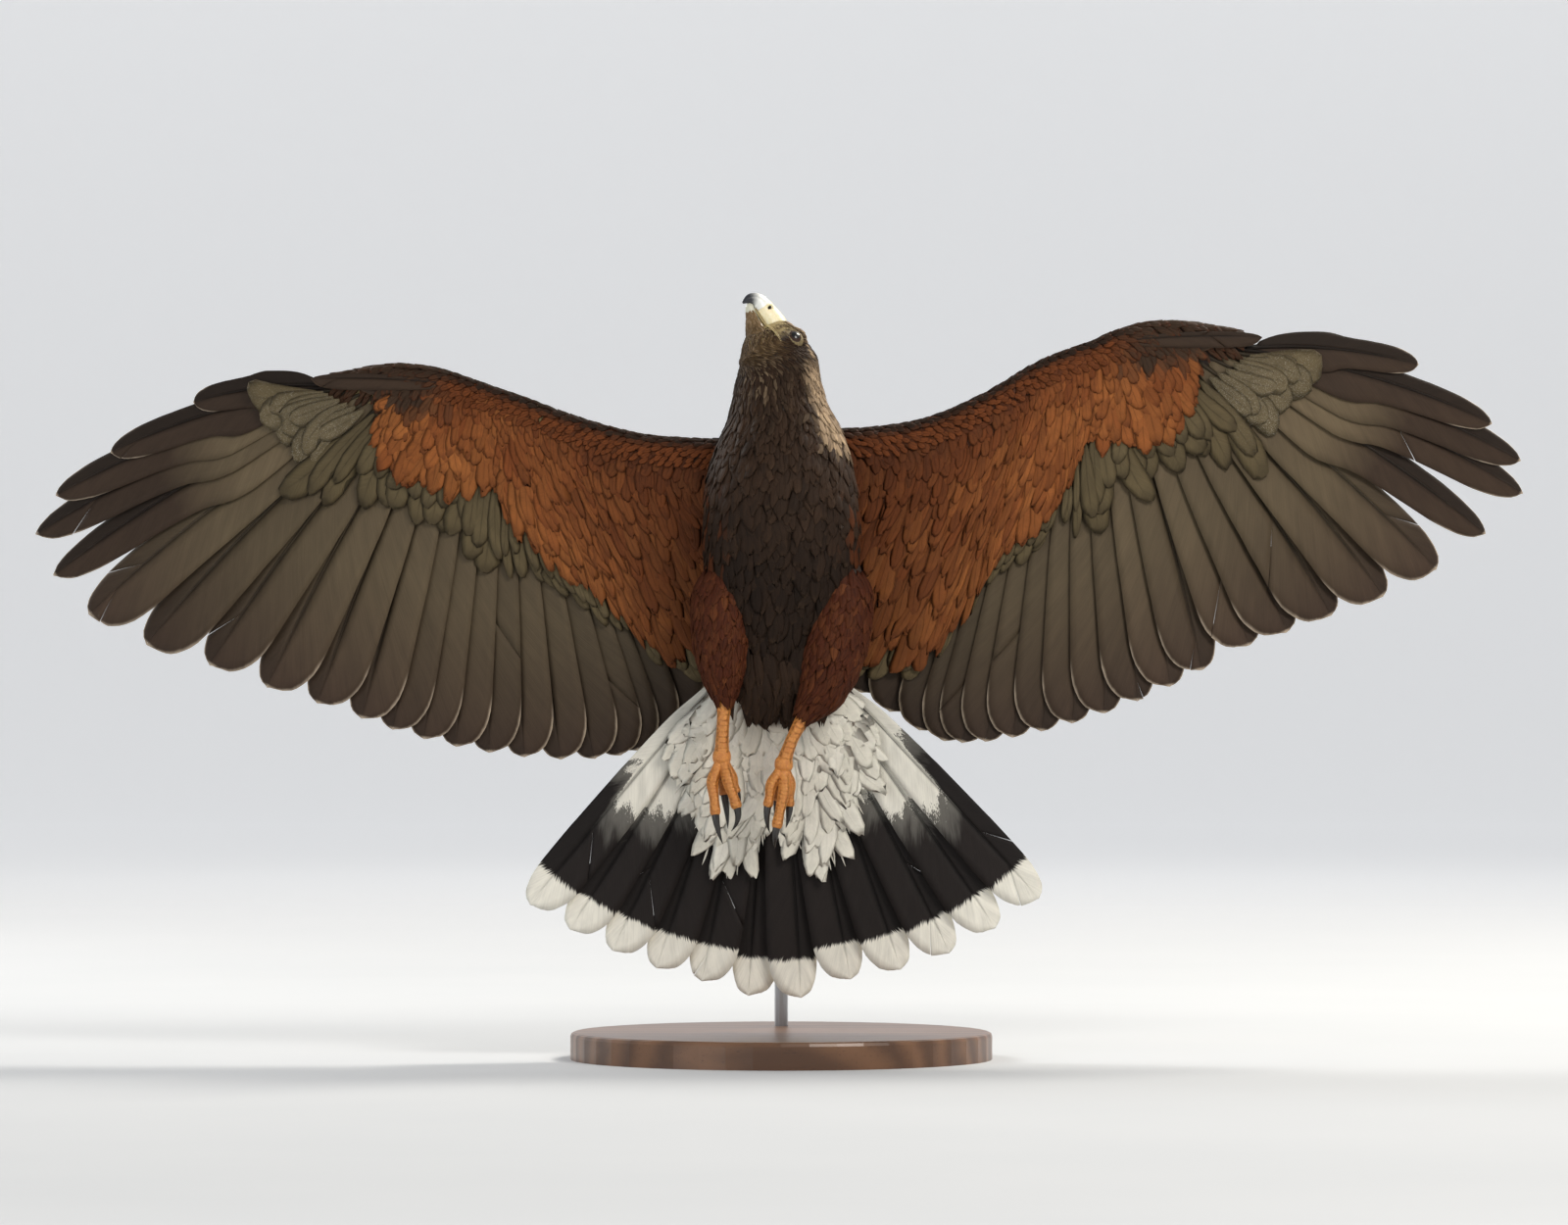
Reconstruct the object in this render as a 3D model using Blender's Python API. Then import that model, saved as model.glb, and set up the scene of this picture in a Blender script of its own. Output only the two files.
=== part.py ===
"""Harris's hawk in soaring flight, life size, on a display stand.

Metres, +Z up. The hawk hangs head up with its belly toward -Y and its back
toward +Y, so +X is the bird's left. The origin is the centre of the stand's
underside.
"""
import bpy
import bmesh
import math
import random
from mathutils import Matrix, Vector

# Fits and sheet sizes shared by all pieces
GAP = 0.0003
VANE_EDGE = 0.0005
VANE_SHAFT = 0.0010
COVERT_THICK = 0.0006
FLIGHT_TILT = 0.13
COVERT_TILT = 0.10

# Stand: a turned wooden disc and a bent steel rod
BASE_RADIUS = 0.155
BASE_HEIGHT = 0.020
BASE_EDGE = 0.003
ROD_RADIUS = 0.005
ROD_BACK = 0.085
ROD_SOCKET = 0.012
ROD_BEND = 0.030
ROD_ENTRY = 0.345

# Torso sections from vent to neck: height, side shift, depth shift,
# half width, half depth
TORSO = [
    (0.2400, 0.000, -0.0130, 0.012, 0.010),
    (0.2460, 0.000, -0.0125, 0.021, 0.018),
    (0.2620, 0.000, -0.0105, 0.033, 0.028),
    (0.2900, 0.000, -0.0085, 0.045, 0.040),
    (0.3250, 0.000, -0.0080, 0.054, 0.049),
    (0.3600, 0.000, -0.0095, 0.0595, 0.055),
    (0.3950, 0.000, -0.0105, 0.0605, 0.056),
    (0.4250, 0.000, -0.0095, 0.0575, 0.053),
    (0.4520, 0.0005, -0.0070, 0.0505, 0.046),
]
NECK = [
    (0.4523, 0.0005, -0.0070, 0.0505, 0.0460),
    (0.4670, 0.0006, -0.0060, 0.0435, 0.0395),
    (0.4810, -0.0012, -0.0050, 0.0378, 0.0350),
    (0.4947, -0.0020, -0.0040, 0.0337, 0.0315),
]

# Head: turned to the bird's right and rolled, so its left side faces -Y
HEAD_TURN = math.radians(22)
HEAD_ROLL = math.radians(62)
HEAD_AT = Vector((0.0015, -0.004, 0.5111))
# Share of the turn, forward, upward, shift in x, half width, half height
HEAD = [
    (0.00, None, 0.0, 0.0, 0.0337, 0.0315),
    (0.05, -0.0080, 0.0000, -0.0036, 0.0316, 0.0308),
    (0.35, 0.0010, 0.0000, -0.0035, 0.0298, 0.0290),
    (0.72, 0.0085, -0.0010, -0.0045, 0.0270, 0.0270),
    (1.00, 0.0165, -0.0042, 0.0, 0.0240, 0.0242),
    (1.00, 0.0225, -0.0034, 0.0, 0.0200, 0.0213),
    (1.00, 0.0270, -0.0026, 0.0, 0.0152, 0.0182),
    (1.00, 0.0300, -0.0016, 0.0, 0.0108, 0.0148),
]
HEAD_FOOT = Vector((-0.0020, -0.004, 0.4950))
EYE = Vector((0.012, 0.019, 0.004))
EYE_RADIUS = 0.0075
LID_RADIUS = 0.0064
LID_WIRE = 0.0013
BROW = Vector((0.0125, 0.0205, 0.0118))
BROW_SIZE = (0.0092, 0.0036, 0.0026)
BROW_TURN = math.radians(34)
CERE = [(0.0303, 0.0044, 0.0088, 0.0100), (0.0373, 0.0030, 0.0072, 0.0086), (0.0440, 0.0014, 0.0059, 0.0077)]
NOSTRIL = Vector((0.0420, 0.0060, 0.0042))
NOSTRIL_RADIUS = 0.0014
# Bill outlines in the head's own frame: forward, upward, half width, half height
UPPER_BILL = [
    (0.0443, 0.0014, 0.0058, 0.0076),
    (0.0478, 0.0002, 0.0051, 0.0067),
    (0.0508, -0.0022, 0.0041, 0.0055),
    (0.0526, -0.0056, 0.0030, 0.0041),
    (0.0527, -0.0092, 0.0019, 0.0025),
    (0.0519, -0.0125, 0.0007, 0.0008),
]
LOWER_BILL = [
    (0.0303, -0.0122, 0.0098, 0.0060),
    (0.0350, -0.0114, 0.0075, 0.0048),
    (0.0394, -0.0108, 0.0056, 0.0039),
    (0.0445, -0.0106, 0.0038, 0.0030),
    (0.0480, -0.0104, 0.0017, 0.0015),
]
GAPE_FRONT = Vector((0.0310, 0.0100, -0.0062))
GAPE_BACK = Vector((0.0145, 0.0240, -0.0080))
GAPE_WIDTH = 0.0009

# Wings. Feathers are numbered outward from the wrist, 1 to 10 the primaries,
# and inward, -1 to -14 the secondaries and tertials. Fan rows give number,
# length, angle off straight down. Core rows give distance out, leading edge
# height, rear edge height, thickness.
PRIMARIES = 10
SECONDARIES = 10
TERTIALS = 4
WINGS = {
    "left": {
        "side": 1,
        "bones": [(0.060, 0.4566), (0.1688, 0.4403), (0.2563, 0.5167), (0.3480, 0.5246)],
        "fan": [(-14, 0.178, -18.5), (-9, 0.225, -12.5), (-5, 0.236, -0.5), (-1, 0.235, 14.6), (1, 0.230, 21.8),
                (3, 0.232, 33.7), (5, 0.249, 50.1), (7, 0.262, 66.6), (8, 0.243, 70.7), (9, 0.204, 74.8),
                (10, 0.130, 85.2)],
        "core": [(0.020, 0.464, 0.400, 0.026), (0.060, 0.464, 0.368, 0.023), (0.105, 0.471, 0.378, 0.019),
                 (0.150, 0.490, 0.398, 0.016), (0.191, 0.5140, 0.424, 0.013), (0.225, 0.5270, 0.458, 0.011),
                 (0.258, 0.5400, 0.488, 0.010), (0.292, 0.5440, 0.502, 0.008), (0.325, 0.5400, 0.510, 0.0065),
                 (0.350, 0.5350, 0.516, 0.005)],
        "alula": [(0.262, 0.5250, 0.326, 0.5345), (0.256, 0.5250, 0.305, 0.5290), (0.250, 0.5220, 0.290, 0.5215)],
    },
    "right": {
        "side": -1,
        "bones": [(0.0593, 0.4472), (0.1608, 0.4185), (0.2482, 0.4913), (0.3400, 0.4969)],
        "fan": [(-14, 0.158, -20.5), (-9, 0.214, -15.0), (-5, 0.234, 1.6), (-1, 0.247, 15.6), (1, 0.248, 21.4),
                (3, 0.255, 37.0), (5, 0.283, 53.8), (7, 0.274, 66.8), (8, 0.240, 70.7), (9, 0.180, 74.5),
                (10, 0.100, 83.2)],
        "core": [(0.020, 0.456, 0.388, 0.026), (0.060, 0.456, 0.358, 0.023), (0.105, 0.460, 0.362, 0.019),
                 (0.150, 0.472, 0.376, 0.016), (0.190, 0.487, 0.402, 0.013), (0.222, 0.4980, 0.432, 0.011),
                 (0.252, 0.5080, 0.462, 0.010), (0.285, 0.5120, 0.476, 0.008), (0.315, 0.5080, 0.482, 0.0065),
                 (0.342, 0.5030, 0.487, 0.005)],
        "alula": [(0.252, 0.4950, 0.325, 0.5010), (0.247, 0.4950, 0.300, 0.4960), (0.242, 0.4930, 0.284, 0.4890)],
    },
}
# Depth of the wing's middle sheet: near the body, slope outward, upsweep of
# the hand, droop of the trailing edge
SHEET_START = 0.024
SHEET_SLOPE = 0.13
SHEET_SWEEP = 0.80
SWEEP_FROM = 0.25
SHEET_DROOP = 0.014
# Half widths of the flight vanes by number: ahead of and behind the shaft
FLIGHT_WIDTHS = [(-14, 0.018, 0.024), (-5, 0.016, 0.024), (-1, 0.016, 0.026), (3, 0.015, 0.031), (6, 0.013, 0.029),
                 (8, 0.013, 0.026), (10, 0.012, 0.018)]
# Station along the vane, share of the outer width, share of the inner width
BROAD_ROWS = [(0.0, 0.20, 0.12), (0.18, 0.62, 0.50), (0.82, 1.0, 1.0), (0.96, 0.78, 0.76), (1.0, 0.32, 0.28)]
FINGER_ROWS = [(0.0, 0.20, 0.12), (0.17, 0.75, 0.50), (0.42, 1.0, 0.96), (0.58, 0.82, 0.76), (0.84, 0.76, 0.64),
               (0.96, 0.50, 0.42), (1.0, 0.14, 0.12)]
COVERT_ROWS = [(0.0, 0.25, 0.25), (0.16, 0.62, 0.62), (0.74, 1.0, 1.0), (1.0, 0.34, 0.34)]
FINGERED_FROM = 6
# Covert tiers: first and last feather and the step between, lift off the sheet
# toward the belly, start ahead of the bones, half width, length by number
TIERS = [
    ((-14, -1, 1), 0.0052, 0.000, 0.0115, [(-14, 0.140), (-9, 0.112), (-5, 0.094), (-1, 0.084)]),
    ((1, 9, 1), 0.0050, 0.000, 0.0105, [(1, 0.082), (5, 0.074), (9, 0.060)]),
    ((-14, -1, 2), 0.0085, 0.010, 0.0125, [(-14, 0.122), (-9, 0.094), (-5, 0.072), (-1, 0.062)]),
    ((-13, -1, 2), -0.0046, 0.000, 0.0130, [(-13, 0.118), (-7, 0.104), (-1, 0.088)]),
    ((1, 9, 2), -0.0044, 0.000, 0.0120, [(1, 0.086), (5, 0.078), (9, 0.062)]),
]
WRIST_BOX = 0.5
ALULA_WIDTH = 0.0085
ALULA_LIFT = 0.0042

# Tail: six feathers a side fanned from one point above the vent
FAN_POINT = (-0.005, 0.3287)
TAIL_REACH = 0.286
TAIL_ROOT = 0.066
TAIL_PAIRS = 6
TAIL_STEP = {1: 7.75, -1: 7.2}
TAIL_FIRST = 3.9
TAIL_WIDTHS = (0.0135, 0.0225)
TAIL_DEPTH = -0.004
TAIL_LEAN = 0.05
TAIL_CUP = 0.40
# Core rows: height, half width, half thickness
TAIL_CORE = [(0.290, 0.036, 0.010), (0.268, 0.056, 0.012), (0.250, 0.068, 0.0115), (0.232, 0.068, 0.009),
             (0.214, 0.058, 0.0055), (0.204, 0.046, 0.0025)]
# Covert tiers of the tail: lift toward the belly, count, fan half angle,
# start and end distance from the fan point, half width
TAIL_TIERS = [
    (0.0066, 8, 26.0, 0.085, 0.188, 0.0120),
    (0.0100, 5, 18.0, 0.080, 0.158, 0.0120),
    (-0.0060, 6, 25.0, 0.085, 0.165, 0.0125),
]

# Legs: thigh rows (x, y, z, radius), then the tarsus and its foot
LEGS = {
    "right": {
        "thigh": [(-0.040, -0.014, 0.362, 0.016), (-0.042, -0.022, 0.338, 0.024), (-0.043, -0.032, 0.305, 0.0225),
                  (-0.0425, -0.0395, 0.280, 0.0155), (-0.0415, -0.0425, 0.2665, 0.0092)],
        "tarsus": [(-0.0414, -0.0427, 0.2662, 0.0058), (-0.0424, -0.0432, 0.248, 0.0046),
                   (-0.0432, -0.0430, 0.230, 0.0052)],
        "palm": (-0.0434, -0.0425, 0.2235),
        "toes": [
            ("inner", (-0.0500, -0.0455, 0.205), (-0.0478, -0.0500, 0.1800), (-0.0425, -0.0470, 0.1592), 0.0040),
            ("middle", (-0.0385, -0.0480, 0.205), (-0.0320, -0.0500, 0.1850), (-0.0365, -0.0460, 0.1685), 0.0041),
            ("outer", (-0.0360, -0.0395, 0.208), (-0.0325, -0.0385, 0.1960), (-0.0310, -0.0365, 0.1830), 0.0036),
            ("rear", (-0.0440, -0.0365, 0.208), (-0.0415, -0.0375, 0.1945), (-0.0390, -0.0340, 0.1700), 0.0038),
        ],
    },
    "left": {
        "thigh": [(0.044, -0.014, 0.362, 0.016), (0.044, -0.022, 0.336, 0.024), (0.038, -0.034, 0.300, 0.0245),
                  (0.0300, -0.0415, 0.272, 0.0185), (0.0180, -0.0450, 0.2545, 0.0092)],
        "tarsus": [(0.0178, -0.0452, 0.2542, 0.0058), (0.0090, -0.0450, 0.238, 0.0046),
                   (0.0035, -0.0440, 0.224, 0.0052)],
        "palm": (0.0018, -0.0430, 0.2180),
        "toes": [
            ("inner", (-0.0070, -0.0465, 0.203), (-0.0100, -0.0490, 0.1860), (-0.0082, -0.0440, 0.1672), 0.0038),
            ("middle", (0.0020, -0.0480, 0.198), (-0.0036, -0.0515, 0.1705), (-0.0045, -0.0460, 0.1560), 0.0041),
            ("outer", (0.0065, -0.0415, 0.203), (0.0060, -0.0410, 0.1860), (0.0035, -0.0385, 0.1710), 0.0036),
            ("rear", (-0.0020, -0.0365, 0.204), (-0.0030, -0.0370, 0.1900), (-0.0010, -0.0335, 0.1680), 0.0038),
        ],
    },
}
PALM_RADIUS = 0.0072
CLAW_BASE = 0.0027

COLOURS = {
    "chestnut": ((0.22, 0.075, 0.025), 0.75),
    "chocolate": ((0.045, 0.022, 0.012), 0.75),
    "slate brown": ((0.085, 0.062, 0.040), 0.70),
    "black and white": ((0.10, 0.09, 0.08), 0.70),
    "orange skin": ((0.62, 0.30, 0.08), 0.55),
    "yellow skin": ((0.70, 0.46, 0.10), 0.50),
    "horn": ((0.14, 0.15, 0.18), 0.35),
    "black horn": ((0.012, 0.011, 0.010), 0.28),
    "brown eye": ((0.045, 0.018, 0.008), 0.08),
    "walnut": ((0.13, 0.062, 0.030), 0.42),
    "steel": ((0.42, 0.42, 0.43), 0.30),
}

rng = random.Random(11)


def curve_value(rows, at, column=1):
    """Value at a station of a smooth curve through the rows."""
    if at <= rows[0][0]:
        return rows[0][column]
    if at >= rows[-1][0]:
        return rows[-1][column]
    i = max(k for k in range(len(rows) - 1) if rows[k][0] <= at)

    def slope(k):
        low, high = rows[max(k - 1, 0)], rows[min(k + 1, len(rows) - 1)]
        return (high[column] - low[column]) / (high[0] - low[0])

    span = rows[i + 1][0] - rows[i][0]
    s = (at - rows[i][0]) / span
    return ((2 * s**3 - 3 * s**2 + 1) * rows[i][column] + (s**3 - 2 * s**2 + s) * span * slope(i)
            + (3 * s**2 - 2 * s**3) * rows[i + 1][column] + (s**3 - s**2) * span * slope(i + 1))


def collection(name):
    group = bpy.data.collections.new(name)
    bpy.context.scene.collection.children.link(group)
    return group


def material(name):
    colour, roughness = COLOURS[name]
    made = bpy.data.materials.new(name)
    made.use_nodes = True
    shader = made.node_tree.nodes["Principled BSDF"]
    shader.inputs["Base Color"].default_value = (*colour, 1.0)
    shader.inputs["Roughness"].default_value = roughness
    shader.inputs["Metallic"].default_value = 1.0 if name == "steel" else 0.0
    return made


def place(name, bm, group, look=None):
    """Make an object of a bmesh, smooth shaded, in a collection."""
    bmesh.ops.recalc_face_normals(bm, faces=bm.faces)
    mesh = bpy.data.meshes.new(name)
    bm.to_mesh(mesh)
    bm.free()
    mesh.shade_smooth()
    mesh.set_sharp_from_angle(angle=math.radians(40))
    made = bpy.data.objects.new(name, mesh)
    group.objects.link(made)
    if look:
        mesh.materials.append(material(look))
    if group is cutters:
        made.hide_render = True
        made.display_type = "WIRE"
    return made


def ring(centre, across, up, half_width, half_height, sides):
    turns = (2 * math.pi * k / sides for k in range(sides))
    return [centre + across * (half_width * math.cos(a)) + up * (half_height * math.sin(a)) for a in turns]


def loft(name, rings, group, look=None):
    """Closed body through rings of equal count, with flat ends."""
    bm = bmesh.new()
    loops = [[bm.verts.new(p) for p in points] for points in rings]
    for low, high in zip(loops, loops[1:]):
        for k in range(len(low)):
            after = (k + 1) % len(low)
            bm.faces.new((low[k], low[after], high[after], high[k]))
    bm.faces.new(loops[0])
    bm.faces.new(loops[-1])
    return place(name, bm, group, look)


def upright_loft(name, rows, sides, group, look=None, grow=0.0):
    """Loft through level ellipses; grow swells it for cutting."""
    across, up = Vector((1, 0, 0)), Vector((0, 1, 0))
    rings = [ring(Vector((x, y, z)), across, up, w + grow, d + grow, sides) for z, x, y, w, d in rows]
    return loft(name, rings, group, look)


def tube(name, rows, sides, group, look=None, first=None, last=None):
    """Round body along points with a radius each; first and last face its ends."""
    points = [Vector(row[:3]) for row in rows]
    rings = []
    for i, point in enumerate(points):
        ahead = points[min(i + 1, len(points) - 1)] - points[max(i - 1, 0)]
        if first and i == 0:
            ahead = first.copy()
        if last and i == len(points) - 1:
            ahead = last.copy()
        ahead.normalize()
        across = ahead.cross(Vector((0, 1, 0))).normalized()
        rings.append(ring(point, across, across.cross(ahead), rows[i][3], rows[i][3], sides))
    return loft(name, rings, group, look)


def ball(name, centre, sizes, axes, group, look=None, parts=(16, 10)):
    bm = bmesh.new()
    bmesh.ops.create_uvsphere(bm, u_segments=parts[0], v_segments=parts[1], radius=1.0)
    turn = Matrix([axis * size for axis, size in zip(axes, sizes)]).transposed().to_4x4()
    bmesh.ops.transform(bm, matrix=Matrix.Translation(centre) @ turn, verts=bm.verts)
    return place(name, bm, group, look)


def vane(name, root, tip, side, bow, rows, widths, sheet, tilt, lift, shafted):
    """One feather in the sheet. Its edge toward the body lies nearer the belly.

    Both faces are cut into triangles the same way, so that they stay parallel.
    """
    start, along = Vector(root), Vector(tip) - Vector(root)
    rest = Vector((along.y * side, -along.x * side)).normalized()
    length = along.length
    levels = []
    for i, (t, outer, inner) in enumerate(rows):
        ahead = along / length - rest * (bow * 4 * (1 - 2 * t))
        inward = Vector((ahead.y * side, -ahead.x * side)).normalized()
        middle = start + along * t - rest * (bow * length * 4 * t * (1 - t))
        raised = lift if i else lift * 0.2
        edges = [(-outer * widths[0], VANE_EDGE), (inner * widths[1], VANE_EDGE)]
        if shafted:
            edges.insert(1, (0.0, VANE_SHAFT * (1.0 - 0.35 * t)))
        else:
            edges = [(u, COVERT_THICK) for u, _ in edges]
        over, under = [], []
        for u, thick in edges:
            x, z = middle + inward * u
            y = sheet(x, z) - tilt * u - raised
            over.append(Vector((x, y + thick / 2, z)))
            under.append(Vector((x, y - thick / 2, z)))
        levels.append((over, under))
    bm = bmesh.new()
    loops = [([bm.verts.new(p) for p in over], [bm.verts.new(p) for p in under]) for over, under in levels]
    last = len(loops[0][0]) - 1
    for (over, under), (next_over, next_under) in zip(loops, loops[1:]):
        for k in range(last):
            for near, far in ((over, next_over), (under, next_under)):
                bm.faces.new((near[k], near[k + 1], far[k + 1]))
                bm.faces.new((near[k], far[k + 1], far[k]))
        for k in (0, last):
            bm.faces.new((over[k], under[k], next_under[k], next_over[k]))
    for over, under in (loops[0], loops[-1]):
        for k in range(last):
            bm.faces.new((over[k], over[k + 1], under[k + 1], under[k]))
    return place(name, bm, cutters)


def rebuilt(made, modifier):
    """Apply a modifier, keep the largest closed surface, cut it in triangles."""
    made.data = bpy.data.meshes.new_from_object(made.evaluated_get(bpy.context.evaluated_depsgraph_get()))
    made.modifiers.remove(modifier)
    bm = bmesh.new()
    bm.from_mesh(made.data)
    bmesh.ops.remove_doubles(bm, verts=bm.verts, dist=0.000002)
    bmesh.ops.dissolve_degenerate(bm, edges=bm.edges, dist=0.000002)
    islands, left = [], set(bm.faces)
    while left:
        island, edge = set(), [left.pop()]
        while edge:
            face = edge.pop()
            island.add(face)
            near = {other for e in face.edges for other in e.link_faces if other in left}
            left -= near
            edge.extend(near)
        islands.append(island)
    largest = max(islands, key=lambda island: sum(f.calc_area() for f in island))
    bmesh.ops.delete(bm, geom=[f for f in bm.faces if f not in largest], context="FACES")
    bmesh.ops.triangulate(bm, faces=bm.faces)
    bm.to_mesh(made.data)
    bm.free()
    made.data.set_sharp_from_angle(angle=math.radians(40))
    return made


def fuse(made, pieces):
    """Join a list of closed pieces to an object in one union."""
    group = collection(made.name + " pieces")
    for piece in pieces:
        cutters.objects.unlink(piece)
        group.objects.link(piece)
    union = made.modifiers.new("union", "BOOLEAN")
    union.operation = "UNION"
    union.operand_type = "COLLECTION"
    union.collection = group
    rebuilt(made, union)
    for piece in pieces:
        bpy.data.objects.remove(piece)
    bpy.data.collections.remove(group)
    return made


def cut(made, tool, operation="DIFFERENCE"):
    """Cut an object with another closed one, which is then removed."""
    part = made.modifiers.new("cut", "BOOLEAN")
    part.operation = operation
    part.object = tool
    rebuilt(made, part)
    bpy.data.objects.remove(tool)
    return made


def clear_of_body(made):
    vent = (TORSO[0][0] - GAP, *TORSO[0][1:])
    return cut(made, upright_loft("body clearance", [vent] + TORSO[1:] + NECK[1:], 24, cutters, grow=GAP))


def head_axes(share=1.0):
    turn, roll = HEAD_TURN * share, HEAD_ROLL * share
    forward = Vector((-math.sin(turn), 0, math.cos(turn)))
    level = Vector((math.cos(turn), 0, math.sin(turn)))
    left = level * math.cos(roll) + Vector((0, -1, 0)) * math.sin(roll)
    return forward, left, forward.cross(left)


def head_point(local):
    forward, left, up = head_axes()
    return HEAD_AT + forward * local[0] + left * local[1] + up * local[2]


def make_torso():
    return upright_loft("torso", TORSO, 24, hawk, "chocolate")


def make_neck():
    return upright_loft("neck", NECK, 24, hawk, "chocolate")


def make_head():
    rings = []
    for share, ahead, rise, shift, width, height in HEAD:
        forward, left, up = head_axes(share)
        centre = HEAD_FOOT if ahead is None else HEAD_AT + forward * ahead + up * rise + Vector((shift, 0, 0))
        rings.append(ring(centre, left, up, width, height, 20))
    head = loft("head", rings, hawk, "chocolate")
    forward, left, up = head_axes()
    details = []
    for side in (1, -1):
        lid_at = head_point((EYE.x, side * 0.0238, EYE.z))
        bpy.ops.mesh.primitive_torus_add(major_segments=14, minor_segments=5, major_radius=LID_RADIUS,
                                         minor_radius=LID_WIRE)
        lid = bpy.context.object
        lid.data.transform(Matrix.Translation(lid_at) @ Matrix((forward, up, left)).transposed().to_4x4())
        for group in list(lid.users_collection):
            group.objects.unlink(lid)
        cutters.objects.link(lid)
        details.append(lid)
        brow_at = head_point((BROW.x, side * BROW.y, BROW.z))
        along = forward * math.cos(BROW_TURN) - left * (side * math.sin(BROW_TURN))
        details.append(ball("brow", brow_at, BROW_SIZE, (along, up.cross(along), up), cutters, parts=(10, 6)))
    fuse(head, details)
    for side in (1, -1):
        socket = head_point((EYE.x, side * EYE.y, EYE.z))
        round_cut = ball("socket", socket, (EYE_RADIUS + GAP,) * 3, (forward, up, left), cutters, parts=(16, 8))
        cut(head, round_cut)
        front = head_point((GAPE_FRONT.x, side * GAPE_FRONT.y, GAPE_FRONT.z))
        back = head_point((GAPE_BACK.x, side * GAPE_BACK.y, GAPE_BACK.z))
        line = (front - back).normalized()
        outward = line.cross(up) * side
        bm = bmesh.new()
        bmesh.ops.create_cube(bm, size=1.0)
        scale = Matrix.Diagonal(((front - back).length, 0.010, GAPE_WIDTH, 1.0))
        turn = Matrix((line, outward, up)).transposed().to_4x4()
        middle = (front + back) / 2 + outward * 0.0040
        bmesh.ops.transform(bm, matrix=Matrix.Translation(middle) @ turn @ scale, verts=bm.verts)
        cut(head, place("gape", bm, cutters))
    return head


def bill_loft(name, rows, look):
    """Bill piece along a line in the head's frame, its sections square to it."""
    forward, left, up = head_axes()
    rings = []
    for i, (ahead, rise, width, height) in enumerate(rows):
        before, after = rows[max(i - 1, 0)], rows[min(i + 1, len(rows) - 1)]
        line = Vector((after[0] - before[0], after[1] - before[1])).normalized()
        if i == 0:
            line = Vector((1.0, 0.0))
        rise_way = up * line.x - forward * line.y
        rings.append(ring(head_point((ahead, 0, rise)), left, rise_way, width, height, 12))
    return loft(name, rings, hawk, look)


def make_bill():
    forward, left, up = head_axes()
    rings = [ring(head_point((ahead, 0, rise)), left, up, width, height, 14) for ahead, rise, width, height in CERE]
    cere = loft("cere", rings, hawk, "yellow skin")
    for side in (1, -1):
        hole = head_point((NOSTRIL.x, side * NOSTRIL.y, NOSTRIL.z))
        cut(cere, ball("nostril", hole, (NOSTRIL_RADIUS,) * 3, (forward, left, up), cutters, parts=(8, 6)))
    bill_loft("bill_upper", UPPER_BILL, "horn")
    bill_loft("bill_lower", LOWER_BILL, "horn")


def make_eyes():
    forward, left, up = head_axes()
    for name, side in (("eye_left", 1), ("eye_right", -1)):
        at = head_point((EYE.x, side * EYE.y, EYE.z))
        ball(name, at, (EYE_RADIUS,) * 3, (forward, up, left), hawk, "brown eye", parts=(12, 8))


def wing_sheet(wing):
    """Depth of the wing's middle sheet at a place in the wing."""
    bones = wing["bones"]

    def bone_height(out):
        if out >= bones[-1][0]:
            return bones[-1][1]
        for (x0, z0), (x1, z1) in zip(bones, bones[1:]):
            if out <= x1:
                return z0 + (z1 - z0) * max(0.0, out - x0) / (x1 - x0)

    def depth(x, z):
        out = abs(x)
        behind = max(0.0, bone_height(out) - z) / 0.2
        droop = SHEET_DROOP * behind**2 * min(1.0, max(0.0, (out - 0.05) / 0.10))
        return SHEET_START + SHEET_SLOPE * max(0.0, out - 0.06) + SHEET_SWEEP * max(0.0, out - SWEEP_FROM)**2 - droop

    return depth


def feather_line(wing, number):
    """Root, unit direction and length of a feather, outward in +X."""
    shoulder, elbow, wrist, finger = (Vector(p) for p in wing["bones"])
    if number > 0:
        root = wrist.lerp(finger, (number - 0.5) / (PRIMARIES - 0.5))
    elif number >= -SECONDARIES:
        root = wrist.lerp(elbow, (-number - 0.5) / SECONDARIES)
    else:
        root = elbow.lerp(shoulder, (-number - SECONDARIES - 0.5) / (TERTIALS + 1))
    angle = math.radians(curve_value(wing["fan"], number, 2))
    return root, Vector((math.sin(angle), -math.cos(angle))), curve_value(wing["fan"], number, 1)


def wrist_box(wing, sign):
    """Large box on one side of the cut between the arm's and the hand's feathers."""
    inner, outer = feather_line(wing, -1), feather_line(wing, 1)
    top = (inner[0] + outer[0]) / 2
    foot = (inner[0] + inner[1] * inner[2] + outer[0] + outer[1] * outer[2]) / 2
    down = Vector(((foot.x - top.x) * wing["side"], 0, foot.y - top.y)).normalized()
    outward = Vector((-down.z * wing["side"], 0, down.x * wing["side"]))
    bm = bmesh.new()
    bmesh.ops.create_cube(bm, size=2 * WRIST_BOX)
    turn = Matrix((outward, down, outward.cross(down))).transposed().to_4x4()
    middle = Vector((top.x * wing["side"], 0, top.y)) + outward * (sign * (WRIST_BOX - GAP / 2))
    bmesh.ops.transform(bm, matrix=Matrix.Translation(middle) @ turn, verts=bm.verts)
    return place("wrist cut", bm, cutters)


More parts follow.
